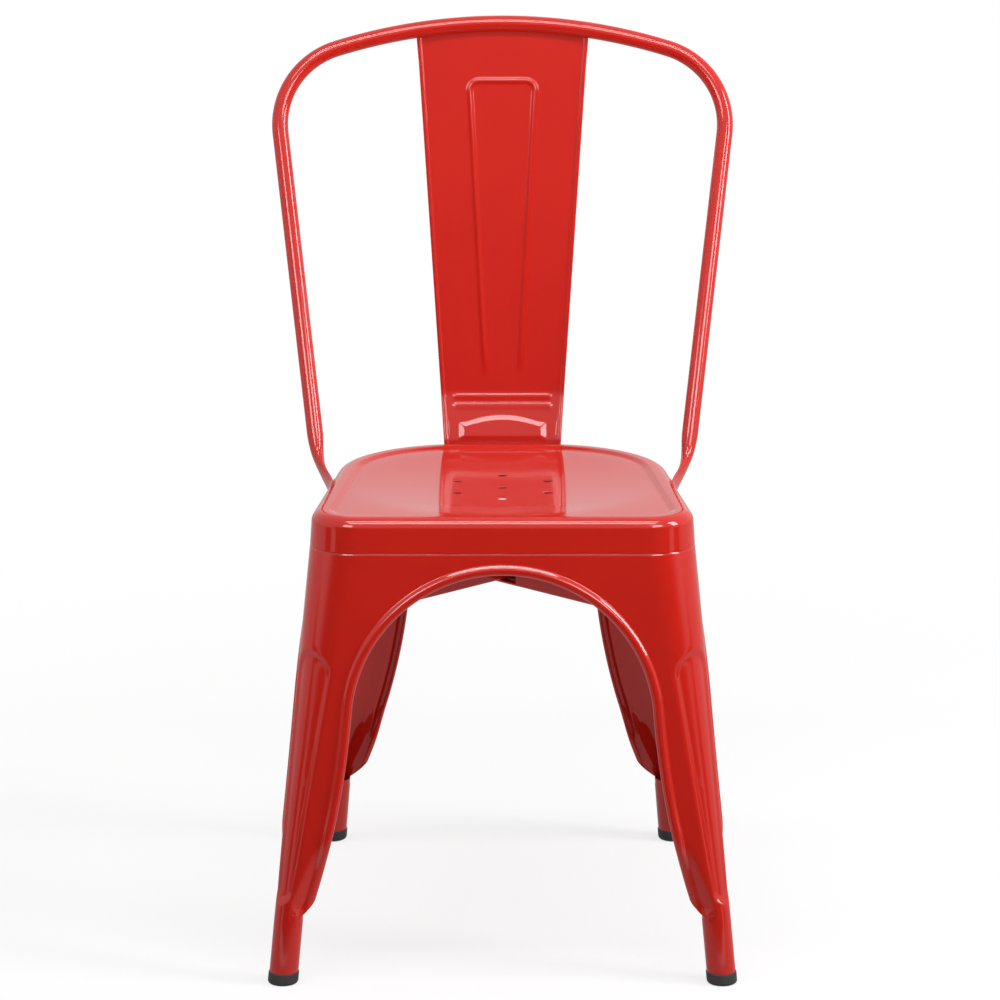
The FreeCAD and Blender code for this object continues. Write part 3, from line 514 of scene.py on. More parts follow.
# %% [markdown]
# ## Seat pan
#
# The seat is pressed from one sheet. From the outside in it has a down-turned skirt, a rounded
# roll, a flat raised rim, a soft step and a shallow dish, with seven drain holes in its middle.
# Rings of the outline, each moved inward and up or down, make the edge. The dish is filled in
# with triangles, because rings would bunch up at its middle and could not go round the holes.
# The press leaves each hole's edge gently rolled down, which a few small rings make.

# %% Ring the seat's skirt, roll, rim and step
RIM_RING = 14.0
RIM_WIDTH = 17.0
STEP_DROP = 2.5
STEP_WIDTH = 6.5
STEP = (RIM_WIDTH - 1, RIM_WIDTH + STEP_WIDTH)
DISH_START = RIM_WIDTH + STEP_WIDTH + 3
DISH_DEPTH = 8.0
DISH_RADIUS = 2000.0
DISH_BLEND = 0.5
ring_positions = runs((0, 22), (1, 26), (2, 26), (3, 34), (4, 10), end=5)


def bowl(x, depth):
    """The dish's floor, a shallow ball shape that runs out into the step's foot."""
    ball = -DISH_DEPTH + (x ** 2 + depth ** 2) / (2 * DISH_RADIUS)
    gap = (ball + STEP_DROP) / DISH_BLEND
    return -STEP_DROP - DISH_BLEND * np.logaddexp(0, -gap)


def seat_ring(inset, rise=0.0, share=0.0):
    """A ring at a distance in from the edge, at a rise plus a share of the dish's."""
    x, depth = seat_outline(-inset).at(ring_positions)
    return both_halves(on_seat(x, depth, rise + share * bowl(x, depth)))


skirt_rises = np.linspace(-SKIRT, -ROLL, 5)[:-1]
roll_angles = np.linspace(0, math.pi / 2, 13)
seat_rings = [seat_ring(-flare_at(rise), rise) for rise in skirt_rises]
seat_rings += [seat_ring(ROLL * (1 - math.cos(angle)), ROLL * (math.sin(angle) - 1))
               for angle in roll_angles]
seat_rings.append(seat_ring(RIM_RING))
seat_rings += [seat_ring(inset, share=smooth(inset, *STEP)) for inset in np.linspace(*STEP, 10)]
seat_rings.append(seat_ring(DISH_START, share=1.0))
roll_top = len(skirt_rises) + len(roll_angles) - 1
edge_skin = grid_skin(np.array(seat_rings), roll_top, (0, 0, 1), wrap_columns=True)
print("seat edge:", len(seat_rings), "rings of", len(seat_rings[0]), "points")


# %% Fill the dish round the drain holes
HOLE_RADIUS = 4.75
HOLE_ROLL = 0.7
HOLE_CIRCLE = 50.8
DISH_GRID = 9.0
DISH_MARGIN = 4.0


def inside(points, loop):
    """Whether points are inside a closed loop, by counting crossings."""
    x, y = points[:, 0][:, None], points[:, 1][:, None]
    ax, ay = loop[:, 0], loop[:, 1]
    bx, by = np.roll(ax, -1), np.roll(ay, -1)
    crosses = (ay > y) != (by > y)
    rise = np.where(by == ay, 1.0, by - ay)
    left = x < ax + (bx - ax) * (y - ay) / rise
    return (crosses & left).sum(axis=1) % 2 == 1


def fill(loops, spots, margin):
    """Triangles inside the first loop and outside the others, over all points."""
    spots = spots[inside(spots, loops[0])]
    for part in np.array_split(np.concatenate(loops), 8):
        near = np.linalg.norm(spots[:, None] - part[None], axis=2).min(axis=1)
        spots = spots[near > margin]
    points = np.concatenate(loops + [spots])
    edges, start = [], 0
    for loop in loops:
        count = len(loop)
        edges += [(start + n, start + (n + 1) % count) for n in range(count)]
        start += count
    cut = delaunay_2d_cdt(points.tolist(), edges, [], 0, 1e-7, True)
    source = [ids[0] if ids else -1 for ids in cut[3]]
    faces = np.array([[source[v] for v in face] for face in cut[2] if len(face) == 3])
    faces = faces[(faces >= 0).all(axis=1)]
    middles = points[faces].mean(axis=1)
    keep = inside(middles, loops[0])
    for loop in loops[1:]:
        keep &= ~inside(middles, loop)
    faces = faces[keep]
    a, b, c = points[faces[:, 0]], points[faces[:, 1]], points[faces[:, 2]]
    turn = (b - a)[:, 0] * (c - a)[:, 1] - (b - a)[:, 1] * (c - a)[:, 0]
    faces[turn < 0] = faces[turn < 0][:, ::-1]
    return points, [tuple(face) for face in faces.tolist()]


def dish_point(flat, drop=0.0):
    x, depth = flat[:, 0], flat[:, 1]
    return on_seat(x, depth, bowl(x, depth) - drop)


def dish_normal(flat, step=0.5):
    x, depth = flat[:, 0], flat[:, 1]
    slope_x = (bowl(x - step, depth) - bowl(x + step, depth)) / (2 * step)
    slope_y = (bowl(x, depth - step) - bowl(x, depth + step)) / (2 * step)
    return unit(on_seat(slope_x, slope_y, 1.0) - on_seat(0.0, 0.0, 0.0))


round_ring = unit_circle(32)
hole_centres = [np.zeros(2)]
for number in range(6):
    angle = math.pi / 2 + number * math.pi / 3
    hole_centres.append(HOLE_CIRCLE * np.array([math.cos(angle), math.sin(angle)]))
hole_loops = [centre + round_ring * (HOLE_RADIUS + HOLE_ROLL) for centre in hole_centres]
dish_loop = both_halves(np.stack(seat_outline(-DISH_START).at(ring_positions), axis=1))
dish_spots = lattice((-170, -150), (171, 151), DISH_GRID)
flat, dish_faces = fill([dish_loop] + hole_loops, dish_spots, DISH_MARGIN)
hole_skins = []
for centre in hole_centres:
    rings = []
    for angle in np.linspace(0, math.pi / 2, 6):
        reach = HOLE_RADIUS + HOLE_ROLL * (1 - math.sin(angle))
        rings.append(dish_point(centre + round_ring * reach, HOLE_ROLL * (1 - math.cos(angle))))
    hole_skins.append(grid_skin(np.array(rings), 0, (0, 0, 1), wrap_columns=True))
seat_skin = joined(edge_skin, (dish_point(flat), dish_normal(flat), dish_faces), *hole_skins)
make_piece("seat", thickened(seat_skin), "enamel", ["seat_pan"])

# %% [markdown]
# ## Legs
#
# Each leg is a pressed corner of the base. Its sheet is stretched between the seat's outline
# and the round tube at its foot, so any point of it lies on a straight line between the two.
# The arches' edges carry a half-round bead, made here as a strip with its own cross-section
# that follows the arch. The field between the strips is filled with triangles, and its recess
# is pressed in by moving points along the sheet's normal, with soft walls as a press leaves.
# Low down the sheet folds back where it wraps round the tube, and the front legs have a small
# dent where that fold runs out. The rear arch and the lower end of the recess follow the
# photograph a few millimetres more closely than the CAD model does.

# %% Name the legs' sizes
# An arch is its crown's height and radius, turn, flare, and its lip's end and slant.
FRONT_ARCH = (SEAT_HEIGHT - 45.7, 144.0, math.radians(4.6), 850.0, 84.0, 1.7)
REAR_ARCH = (SEAT_HEIGHT - 61.5, 92.0, math.radians(3.5), 680.0, 92.0, 2.3)
SIDE_ARCH_FRONT = (SEAT_HEIGHT - 54.5, 138.0, math.radians(6.0), 900.0, 86.0, 1.5)
SIDE_ARCH_REAR = (SEAT_HEIGHT - 54.5, 138.0, math.radians(10.0), 1100.0, 100.0, 1.7)
ARCH_STEPS = 110
STRIP = 12.0
SHOULDER = 2.6
TUCK_OVER = 1.05
TUCK_RISES = (-31.0, -24.0, -15.0)
LIP_REACH = 0.85
RECESS_DEPTH = 3.0
RECESS_TOP = SEAT_HEIGHT - 120.5
RECESS_BOTTOM = 82.0
RECESS_END_SLOPE = 0.85
RECESS_TOP_HALF = 23.0
RECESS_BOTTOM_HALF = 12.0
RECESS_WALL = 5.2
RECESS_SOFT = 1.0
FOLD_START = 3
FOLD_FOOT = 3.6
FOLD_HEIGHT = 85.0
FOLD_SPREAD = 0.327
FOLD_SLOPE = 0.69
FOLD_SOFT = 3.0
FOLD_FADE = (110, 152)
WRAP_REACH = 12.0
WRAP_SLOPE = 0.75
WRAP_FADE = (60, 92)
DIMPLE = (195.6, 77.0, 5.5, 7.5, 0.9)
DIMPLE_FLOOR = 0.35
COARSE_GRID = 4.0
FINE_GRID = 1.7
FINE_BELOW = 118
FINE_MARGIN = 2.0
FIELD_MARGIN = 1.2
LIP_STEP = 1.5
NORMAL_STEP = 0.15
PRESSED_STEP = 0.4
HALVINGS = 44
LATHE_TURNS = 48
REACH = np.array([0.0, 170.0, 215.0, 540.0, 660.0, 750.0])
# The bead's section, as pairs of a distance from the arch's edge and a rise.
bead_section = np.array([
    [STRIP, 0.0], [10.9, 0.05], [10.1, 0.3], [9.4, 0.85], [8.7, 1.6], [7.8, 2.35],
    [6.7, 2.85], [5.4, 3.05], [4.1, 2.95], [2.9, 2.55], [1.8, 1.85], [0.9, 0.95],
    [0.35, 0.0], [0.1, -1.0], [0.2, -2.1], [0.8, -3.1], [1.8, -3.7]])

# The way is the sign of y toward the chair's end. Each span holds the position numbers between
# which an arch's edge lies, and corner is the run of the seat's outline above the leg.
Leg = namedtuple("Leg", "name foot way corner arch span side_arch side_span")
LEGS = [Leg("front", FRONT_FOOT, -1.0, 1, FRONT_ARCH, (0, 2), SIDE_ARCH_FRONT, (1, 3)),
        Leg("rear", REAR_FOOT, 1.0, 3, REAR_ARCH, (3, 5), SIDE_ARCH_REAR, (2, 4))]


def to_reach(u):
    """About how many millimetres along the body its position numbers are."""
    return np.interp(u, np.arange(6), REACH)


def to_position(reach):
    return np.interp(reach, REACH, np.arange(6))


print("bead section:", len(bead_section), "points over", STRIP, "mm")


# %% Shape the surface of the sheet
def axis_point(foot, height):
    return np.array([*foot_centre(foot, height), height])


def recess_line(leg):
    """The lower and upper end of a leg's outer corner, and the way across it."""
    centre, radius = LEG_TOP.runs[leg.corner][:2]
    outward = np.array([1.0, leg.way, 0.0]) / math.sqrt(2)
    across = np.array([-outward[1], outward[0], 0.0])
    upper = on_seat(centre[0], centre[1], -SKIRT) + outward * radius
    return axis_point(leg.foot, TUBE_TOP) + outward * TUBE, upper, across


recess_lines = {leg: recess_line(leg) for leg in LEGS}


def recess_edge(points, leg):
    """How far inside the recess's outline each point is."""
    lower, upper, across = recess_lines[leg]
    z = points[..., 2]
    share = (z - lower[2]) / (upper[2] - lower[2])
    line = lower + (upper - lower) * share[..., None]
    aside = np.abs(((points - line) * across).sum(axis=-1))
    shoulder = RECESS_TOP - RECESS_TOP_HALF
    heel = RECESS_BOTTOM + RECESS_BOTTOM_HALF
    run = np.clip((z - heel) / (shoulder - heel), 0, 1)
    half = RECESS_BOTTOM_HALF + (RECESS_TOP_HALF - RECESS_BOTTOM_HALF) * run
    below = np.minimum(z - heel, 0) * RECESS_END_SLOPE
    return half - np.hypot(aside, np.where(z > shoulder, z - shoulder, below))


def wrapped(points, leg):
    """How far the sheet folds back on its way round the tube."""
    z = points[..., 2]
    centre_x, centre_y = foot_centre(leg.foot, z)
    past_side = (points[..., 1] - centre_y) * -leg.way
    past = np.maximum(np.maximum(centre_x - points[..., 0], past_side), 0)
    beyond = past - FOLD_FOOT - FOLD_SPREAD * (z - FOLD_HEIGHT)
    fold = FOLD_SLOPE * softened(beyond, FOLD_SOFT)
    fold = fold * (1 - smooth(z, *FOLD_FADE)) * smooth(past, 0, FOLD_START)
    near = np.minimum(past, WRAP_REACH)
    circle = TUBE - np.sqrt(TUBE ** 2 - near ** 2) + (past - near) * WRAP_SLOPE
    return fold + (circle - fold) * (1 - smooth(z, *WRAP_FADE))


def dimple(points, leg):
    """A small oval dent where the front fold runs out."""
    x, z, half_x, half_z, depth = DIMPLE
    oval = np.hypot((points[..., 0] - x) / half_x, (points[..., 2] - z) / half_z)
    on_front = points[..., 1] < foot_centre(FRONT_FOOT, points[..., 2])[1]
    dented = on_front & (leg.foot == FRONT_FOOT)
    return np.where(dented, depth * (1 - smooth(oval, DIMPLE_FLOOR, 1.0)), 0.0)


def pressed_in(points, leg):
    """How far the press has pushed each point in."""
    within = recess_edge(points, leg)
    pocket = softened(within, RECESS_SOFT) - softened(within - RECESS_WALL, RECESS_SOFT)
    return RECESS_DEPTH / RECESS_WALL * pocket + wrapped(points, leg) + dimple(points, leg)


def sheet_normal(point_at, u, z, step):
    """The outward normal of a surface that is given by position number and height."""
    ahead = point_at(to_position(to_reach(u) + step), z)
    behind = point_at(to_position(to_reach(u) - step), z)
    climb = point_at(u, z + step) - point_at(u, z - step)
    return unit(np.cross(ahead - behind, climb))


def leg_point(u, z, leg):
    base = body_point(u, z)
    normal = sheet_normal(body_point, u, z, NORMAL_STEP)
    return base - normal * pressed_in(base, leg)[..., None]


def leg_normal(u, z, leg):
    return sheet_normal(partial(leg_point, leg=leg), u, z, PRESSED_STEP)


print("recess runs from", RECESS_TOP, "down to", RECESS_BOTTOM, "mm")


# %% Make the beaded strips along the arches
def find_position(axis, value, z, start, end):
    """The position numbers where the body has a coordinate, between two positions."""
    low, high = np.full(z.shape, float(start)), np.full(z.shape, float(end))
    rising = (body_point(high, z) - body_point(low, z))[..., axis].mean() > 0
    for _ in range(HALVINGS):
        middle = (low + high) / 2
        past = (body_point(middle, z)[..., axis] > value) == rising
        high = np.where(past, middle, high)
        low = np.where(past, low, middle)
    return (low + high) / 2


def arch_points(arch, out):
    """Points of an arch moved outward, from its crown down to the slanting lip end."""
    crown, radius, turn, flare, lip_end, slant = arch
    centre = crown - radius
    grown, shrunk = radius + out, flare - out
    flare_x = math.cos(turn) * (radius + flare)
    flare_z = centre + math.sin(turn) * (radius + flare)
    bottom = lip_end - slant * max(out, 0.0)
    last = math.asin((flare_z - bottom) / shrunk)
    share = (math.pi / 2 - turn) * radius
    share /= share + (last - turn) * flare
    travel = np.linspace(0, 1, ARCH_STEPS)
    high = math.pi / 2 - np.minimum(travel / share, 1) * (math.pi / 2 - turn)
    low = turn + np.maximum(travel - share, 0) / (1 - share) * (last - turn)
    on_crown = travel <= share
    across = np.where(on_crown, np.cos(high) * grown, flare_x - np.cos(low) * shrunk)
    height = np.where(
        on_crown, centre + np.sin(high) * grown, flare_z - np.sin(low) * shrunk)
    return across, height


def arch_strip(leg, arch, axis, middle, sign, span):
    """The beaded strip along an arch, and the position and height of its inner edge."""
    points, borders = [], []
    for out, rise in bead_section:
        across, height = arch_points(arch, out)
        value = middle + sign * np.maximum(across, SEAM_GAP / 2)
        u = find_position(axis, value, height, *span)
        normal = leg_normal(u, height, leg)
        points.append(leg_point(u, height, leg) + normal * rise)
        borders.append((u, height, normal))
    u, height, normal = borders[0]
    skin = grid_skin(np.array(points), 0, normal)
    skin[1][0] = normal
    return skin, u, height


def collar(u, z, leg):
    """The rounded shoulder under the skirt, and the edge tucked up behind it."""
    rows = [leg_point(u, z, leg)]
    tuck = SHEET + SEAM_GAP
    for angle in np.linspace(0, math.pi / 2, 6)[1:]:
        grow = FLARE - tuck * (1 - math.cos(angle)) * TUCK_OVER
        rise = LEG_TOP_RISE - SHOULDER * (1 - math.sin(angle))
        rows.append(on_seat(*seat_outline(grow).at(u), rise))
    for rise in TUCK_RISES:
        rows.append(on_seat(*seat_outline(flare_at(rise) - tuck).at(u), rise))
    normal = leg_normal(u, z, leg)
    skin = grid_skin(np.array(rows), 0, normal)
    skin[1][0] = normal
    return skin


print("arch strips:", ARCH_STEPS, "steps of", len(bead_section), "points")


# %% Build each leg from its strips, field, shoulder and tube
def leg_skin(leg):
    """The open skin of a right-hand leg's sheet."""
    end_skin, end_u, end_z = arch_strip(leg, leg.arch, 0, 0.0, 1.0, leg.span)
    side_skin, side_u, side_z = arch_strip(
        leg, leg.side_arch, 1, SEAM_Y, leg.way, leg.side_span)

    def spaced(start, end, step):
        first, last = to_reach([start, end])
        count = max(2, int(abs(last - first) / step))
        return to_position(np.linspace(first, last, count))

    def lip_end(axis, way, span):
        value = foot_centre(leg.foot, TUBE_TOP)[axis] - way * TUBE * LIP_REACH
        return find_position(axis, value, np.array([TUBE_TOP]), *span)[0]

    def riser(axis, u, z, start, end, span):
        heights = np.linspace(start, end, 6)[1:-1]
        value = body_point(u[:1], z[:1])[0, axis]
        return find_position(axis, value, heights, *span), heights

    low_u = spaced(lip_end(0, 1.0, leg.span), lip_end(1, leg.way, leg.side_span), LIP_STEP)
    low_z = np.full(low_u.shape, TUBE_TOP)
    top_u = spaced(side_u[0], end_u[0], COARSE_GRID)
    top_z = body_top(top_u)[..., 2] - SHOULDER
    side_up_u, side_up = riser(1, side_u, side_z, side_z[0], top_z[0], leg.side_span)
    end_down_u, end_down = riser(0, end_u, end_z, top_z[-1], end_z[0], leg.span)
    loop_u = np.concatenate([end_u, low_u, side_u[::-1], side_up_u, top_u, end_down_u])
    loop_z = np.concatenate([end_z, low_z, side_z[::-1], side_up, top_z, end_down])
    loop = np.stack([to_reach(loop_u), loop_z], axis=1)

    def scattered(step):
        spots = lattice(loop.min(axis=0), loop.max(axis=0), step)
        wall = recess_edge(body_point(to_position(spots[:, 0]), spots[:, 1]), leg)
        near_wall = (wall > -FINE_MARGIN) & (wall < RECESS_WALL + FINE_MARGIN)
        return spots, near_wall | (spots[:, 1] < FINE_BELOW)

    coarse_spots, coarse_fine = scattered(COARSE_GRID)
    fine_spots, fine_fine = scattered(FINE_GRID)
    spots = np.concatenate([coarse_spots[~coarse_fine], fine_spots[fine_fine]])
    flat, faces = fill([loop], spots, FIELD_MARGIN)
    u = np.concatenate([loop_u, to_position(flat[len(loop):, 0])])
    z = flat[:, 1]
    field = (leg_point(u, z, leg), leg_normal(u, z, leg), faces)
    return joined(field, end_skin, side_skin, collar(top_u, top_z, leg))


def lathe(foot, section):
    """Rings round a right-hand tube's axis, from a section of (height, radius)."""
    spokes = np.column_stack([unit_circle(LATHE_TURNS), np.zeros(LATHE_TURNS)])
    return np.array([axis_point(foot, height) + radius * spokes for height, radius in section])


def leg_tube(foot):
    bore = TUBE - SHEET
    section = [(11.5, bore), (11.5, TUBE - 0.3), (11.8, TUBE), (30.0, TUBE), (50.0, TUBE),
               (TUBE_TOP, TUBE), (TUBE_TOP + 0.4, TUBE - 0.4), (69.0, TUBE - 0.4),
               (69.3, TUBE - 0.7), (69.0, bore), (40.0, bore), (11.8, bore)]
    rings = lathe(foot, section)
    return grid_skin(rings, 3, rings[3] - axis_point(foot, 30.0), True, True)


def make_pair(leg, kind, node_kind, skin, slot):
    """A right-hand piece and its mirror image on the left."""
    for side, side_skin in (("right", skin), ("left", mirrored(skin))):
        make_piece(f"{leg.name}_{kind}_{side}", side_skin, slot,
                   [f"{leg.name}_{side}_{node_kind}"])


for leg in LEGS:
    skin = together(thickened(leg_skin(leg)), leg_tube(leg.foot))
    make_pair(leg, "leg", "leg", skin, "enamel")

# %% [markdown]
# ## Rubber feet
#
# Each tube stands in a moulded rubber cap with a rounded sole and a plug that goes up the bore.
# A cap is round, so one half of its section, turned about the leaning axis of the tube, makes
# the whole of it.

# %% Turn the four caps
BORE_PLUG = TUBE - SHEET - 0.3
SOLE_ROUND = 3.0
cap_section = [(25.0, 0.02), (25.5, 2.0), (25.5, BORE_PLUG - 0.8), (24.7, BORE_PLUG),
               (11.6, BORE_PLUG), (11.5, BORE_PLUG + 0.3), (11.5, FOOT_RADIUS - 0.5),
               (11.2, FOOT_RADIUS - 0.1), (10.7, FOOT_RADIUS), (8.0, FOOT_RADIUS),
               (5.0, FOOT_RADIUS), (SOLE_ROUND, FOOT_RADIUS)]
for angle in np.linspace(0, math.pi / 2, 7)[1:]:
    cap_section.append((SOLE_ROUND * (1 - math.sin(angle)),
                        FOOT_RADIUS - SOLE_ROUND * (1 - math.cos(angle))))
cap_section += [(0.0, 9.0), (0.0, 4.0), (0.0, 0.02)]


def foot_cap(foot):
    rings = lathe(foot, cap_section)
    points, normals, faces = capped_tube(rings, 9, rings[9] - axis_point(foot, 8.0))
    normals[:2] = (0, 0, 1)
    normals[-1] = (0, 0, -1)
    return points, normals, faces


for leg in LEGS:
    make_pair(leg, "cap", "foot", foot_cap(leg.foot), "rubber")

# %% [markdown]
# ## Back hoop
#
# One tube is bent into the back: a wide curve along the top, two tight corners, and two straight
# sides that lean back and draw in. Near the seat the tube is pressed flat and turned to lie on
# the skirt. Rings set square to the path make the tube, and the same rings are squashed into
# ovals towards its ends.

# %% Follow the hoop's path
HOOP_TOP = SEAT_HEIGHT + 397.5
HOOP_LEAN = math.radians(23.0)
HOOP_WIDTH = 442.0
TOP_CURVE = 550.0
CORNER_CURVE = 80.0
HOOP_TAPER = math.radians(6.7)
BEND_RISE = 6.3
PAD_BEHIND = 40.0
PAD_BELOW = 22.0
PAD_FALL = math.radians(80.0)
PAD_HALF_WIDTH = 10.5
PAD_HALF_THICKNESS = 2.2
PAD_LENGTH = 16.0
PAD_TIP = PAD_LENGTH - PAD_HALF_WIDTH
SQUASH_RUN = (-15, 40)
BEND_PULLS = (0.4, 0.2)
HOOP_AROUND = 40


def hoop_point(x, drop):
    x, drop = np.broadcast_arrays(x, drop)
    return np.stack([x, SEAT_Y + HOOP_BEHIND - drop * math.sin(HOOP_LEAN),
                     HOOP_TOP - drop * math.cos(HOOP_LEAN)], axis=-1)


def sag(x):
    """How far the top's wide curve drops away from its middle."""
    return TOP_CURVE - np.sqrt(TOP_CURVE ** 2 - x ** 2)


def hoop_bends():
    """Points of the right half's centre line down to where the end begins, and its way."""
    across = HOOP_WIDTH / 2 - CORNER_CURVE
    corner_drop = TOP_CURVE - math.sqrt((TOP_CURVE - CORNER_CURVE) ** 2 - across ** 2)
    turn = math.atan2(across, TOP_CURVE - corner_drop)
    top = np.linspace(0, turn, 26)
    bend = np.linspace(math.pi / 2 - turn, -HOOP_TAPER, 30)[1:]
    curve = hoop_point(TOP_CURVE * np.sin(top), TOP_CURVE * (1 - np.cos(top)))
    corner = hoop_point(across + CORNER_CURVE * np.cos(bend),
                        corner_drop - CORNER_CURVE * np.sin(bend))
    fall = corner[-1, 2] - (SEAT_HEIGHT + BEND_RISE)
    straight = fall / math.cos(HOOP_LEAN)
    way = np.array([-straight * math.tan(HOOP_TAPER), -straight * math.sin(HOOP_LEAN), -fall])
    slowing = 1 - (1 - np.linspace(0, 1, 36)[1:, None]) ** 2
    return np.concatenate([curve, corner, corner[-1] + way * slowing]), unit(way)


def pad_centre(ahead):
    """The middle of the right-hand flattened end, at a distance ahead of its start."""
    depth = PAD_BEHIND - ahead * math.sin(PAD_FALL)
    rise = -PAD_BELOW - ahead * math.cos(PAD_FALL)
    edge = (SEAT_FRONT_WIDTH + SEAT_REAR_WIDTH) / 4 - depth * SIDE_SLOPE + flare_at(rise)
    return on_seat(edge + PAD_HALF_THICKNESS - SEAM_GAP, depth, rise)


def squashed(beyond):
    """Half the width and half the thickness, past where the end begins."""
    flat = smooth(beyond, *SQUASH_RUN)
    return (HOOP_RADIUS + (PAD_HALF_WIDTH - HOOP_RADIUS) * flat,
            HOOP_RADIUS + (PAD_HALF_THICKNESS - HOOP_RADIUS) * flat)


pad_goal = pad_centre(0)
pad_way = unit(pad_centre(1) - pad_goal)


def hoop_rings():
    """Rings of the right half, from the middle of the top to the end's tip."""
    line, way = hoop_bends()
    start = line[-1]
    plane = np.array([0.0, -math.cos(HOOP_LEAN), math.sin(HOOP_LEAN)])
    tangents = unit(np.gradient(line, axis=0))
    tangents[0], tangents[-1] = (1, 0, 0), way
    stations = [(point, tangent, plane, *squashed(-np.linalg.norm(point - start)))
                for point, tangent in zip(line, tangents)]
    distance = np.linalg.norm(pad_goal - start)
    a, d = start, pad_goal
    b, c = a + way * distance * BEND_PULLS[0], d - pad_way * distance * BEND_PULLS[1]
    for share in np.linspace(0, 1, 22)[1:]:
        rest = 1 - share
        point = (a * rest ** 3 + b * 3 * rest ** 2 * share
                 + c * 3 * rest * share ** 2 + d * share ** 3)
        tangent = unit((b - a) * rest ** 2 + (d - c) * share ** 2 + (c - b) * 2 * rest * share)
        broad = unit(np.cross(tangent, [1.0, 0.0, 0.0]))
        stations.append((point, tangent, broad, *squashed(distance * share)))
    for share in np.linspace(0, 1, 4)[1:]:
        stations.append((pad_goal + pad_way * PAD_TIP * share, pad_way, broad,
                         PAD_HALF_WIDTH, PAD_HALF_THICKNESS))
    for angle in np.linspace(0, math.pi / 2, 9)[1:]:
        ahead = PAD_TIP + PAD_HALF_WIDTH * math.sin(angle)
        wide = max(PAD_HALF_WIDTH * math.cos(angle), 0.05)
        thick = max(PAD_HALF_THICKNESS * math.cos(angle) ** 0.4, 0.05)
        stations.append((pad_goal + pad_way * ahead, pad_way, broad, wide, thick))
    x, y = unit_circle(HOOP_AROUND).T[..., None]
    return np.array([point + wide * x * broad + thick * y * unit(np.cross(tangent, broad))
                     for point, tangent, broad, wide, thick in stations])


right_rings = hoop_rings()
hoop_grid = np.concatenate([right_rings[:0:-1] * MIRROR, right_rings])
top_ring = len(right_rings) - 1
way_out = hoop_grid[top_ring] - hoop_grid[top_ring].mean(axis=0)
make_piece("hoop", capped_tube(hoop_grid, top_ring, way_out), "enamel", ["back_hoop"])

# %% [markdown]
# ## Back slat
#
# The slat is a long tapering pressing. Its side edges are rolled over into thick hems, an
# inverted U is raised on its front, and near the seat it bends to come down to the rear skirt.
# Above that bend the press leaves two creases, and below them an arched panel that stands out.
# The slat is a grid that follows the bent path, with its columns crowded where the bead and the
# hems need them, so a small rise in height is enough to draw them crisply.

# %% Follow the slat's path
SLAT_TOP_WIDTH = 172.0
SLAT_FOOT_WIDTH = 118.0
SLAT_BEND_RISE = 33.5
SLAT_BEND_BEHIND = 188.5
SLAT_BENDS = (70.0, 25.0)
SLAT_SEATING = 0.6
SLAT_TAIL = 18.0
SLAT_START = HOOP_RADIUS - 0.8
SAG_FADE = (8, 44)
HEM_WIDTH = 4.0
HEM_RISE = 1.15
SLAT_BEAD_WIDTH = 8.0
SLAT_BEAD_RISE = 1.3
SLAT_BEAD_TOP = 55.5
SLAT_BEAD_END = 345.0
SLAT_BEAD_FADE = 26
SLAT_BEAD_TOP_HALF = 33.0
SLAT_BEAD_END_HALF = 17.0
SLAT_BEAD_CORNER = 10.0
CREASES = (369.3, 378.3)
CREASE_HALF = 1.6
CREASE_FADE = 9
CREASE_RISE = 0.72
PANEL_TOP = 389.0
PANEL_END = 418.0
PANEL_END_FADE = 8
PANEL_ARCH = (7.0, 36)
PANEL_EARS = (2.5, 44, 6)
PANEL_SIDE_FADE = 7
PANEL_HALF = 45.0
PANEL_RISE = 1.3
PANEL_WALL = 8.0


def slat_corners():
    """The corners of the side view, as (y, z), before they are rounded."""
    rear = SEAT_DEPTH / 2 + SHEET / 2 - SLAT_SEATING
    slope = FLARE / (SKIRT - ROLL)
    knee = on_seat(0.0, rear - slope * ROLL, 0.0)
    tail = on_seat(0.0, rear + slope * SLAT_TAIL, -ROLL - SLAT_TAIL)
    return [np.array([SEAT_Y + HOOP_BEHIND, HOOP_TOP]),
            np.array([SEAT_Y + SLAT_BEND_BEHIND, SEAT_HEIGHT + SLAT_BEND_RISE]),
            knee[1:], tail[1:]]


def slat_side_view(step):
    """Points of the side view from the top down, a step apart."""
    corners = slat_corners()
    line = []
    start = corners[0]
    for before, corner, after, radius in zip(corners, corners[1:], corners[2:], SLAT_BENDS):
        back, ahead = unit(before - corner), unit(after - corner)
        half = math.acos(np.clip(back @ ahead, -1, 1)) / 2
        reach = radius / math.tan(half)
        enter, leave = corner + back * reach, corner + ahead * reach
        centre = corner + unit(back + ahead) * radius / math.sin(half)
        count = max(2, int(np.linalg.norm(enter - start) / step))
        line += list(start + (enter - start) * np.linspace(0, 1, count)[:-1, None])
        first = math.atan2(*(enter - centre)[::-1])
        turn = math.pi - 2 * half
        way = np.sign(np.cross(enter - centre, leave - centre))
        for angle in first + way * turn * np.linspace(0, 1, max(8, int(radius * turn / step))):
            line.append(centre + radius * np.array([math.cos(angle), math.sin(angle)]))
        start = leave
    line += list(start + (corners[3] - start) * np.linspace(0, 1, 8)[1:, None])
    return np.array(line)


slat_line = slat_side_view(1.0)
slat_steps = np.linalg.norm(np.diff(slat_line, axis=0), axis=1)
slat_lengths = np.concatenate([[0], np.cumsum(slat_steps)])
SLAT_END = slat_lengths[-1]
slat_ways = unit(np.gradient(slat_line, axis=0))
slat_front = np.stack([slat_ways[:, 1], -slat_ways[:, 0]], axis=1)


def along_slat(values, length):
    """The (y, z) of the slat's line or front at distances down from the hoop's top."""
    return [np.interp(length, slat_lengths, values[:, n]) for n in (0, 1)]


print("slat is", round(SLAT_END, 1), "mm long along its bends")


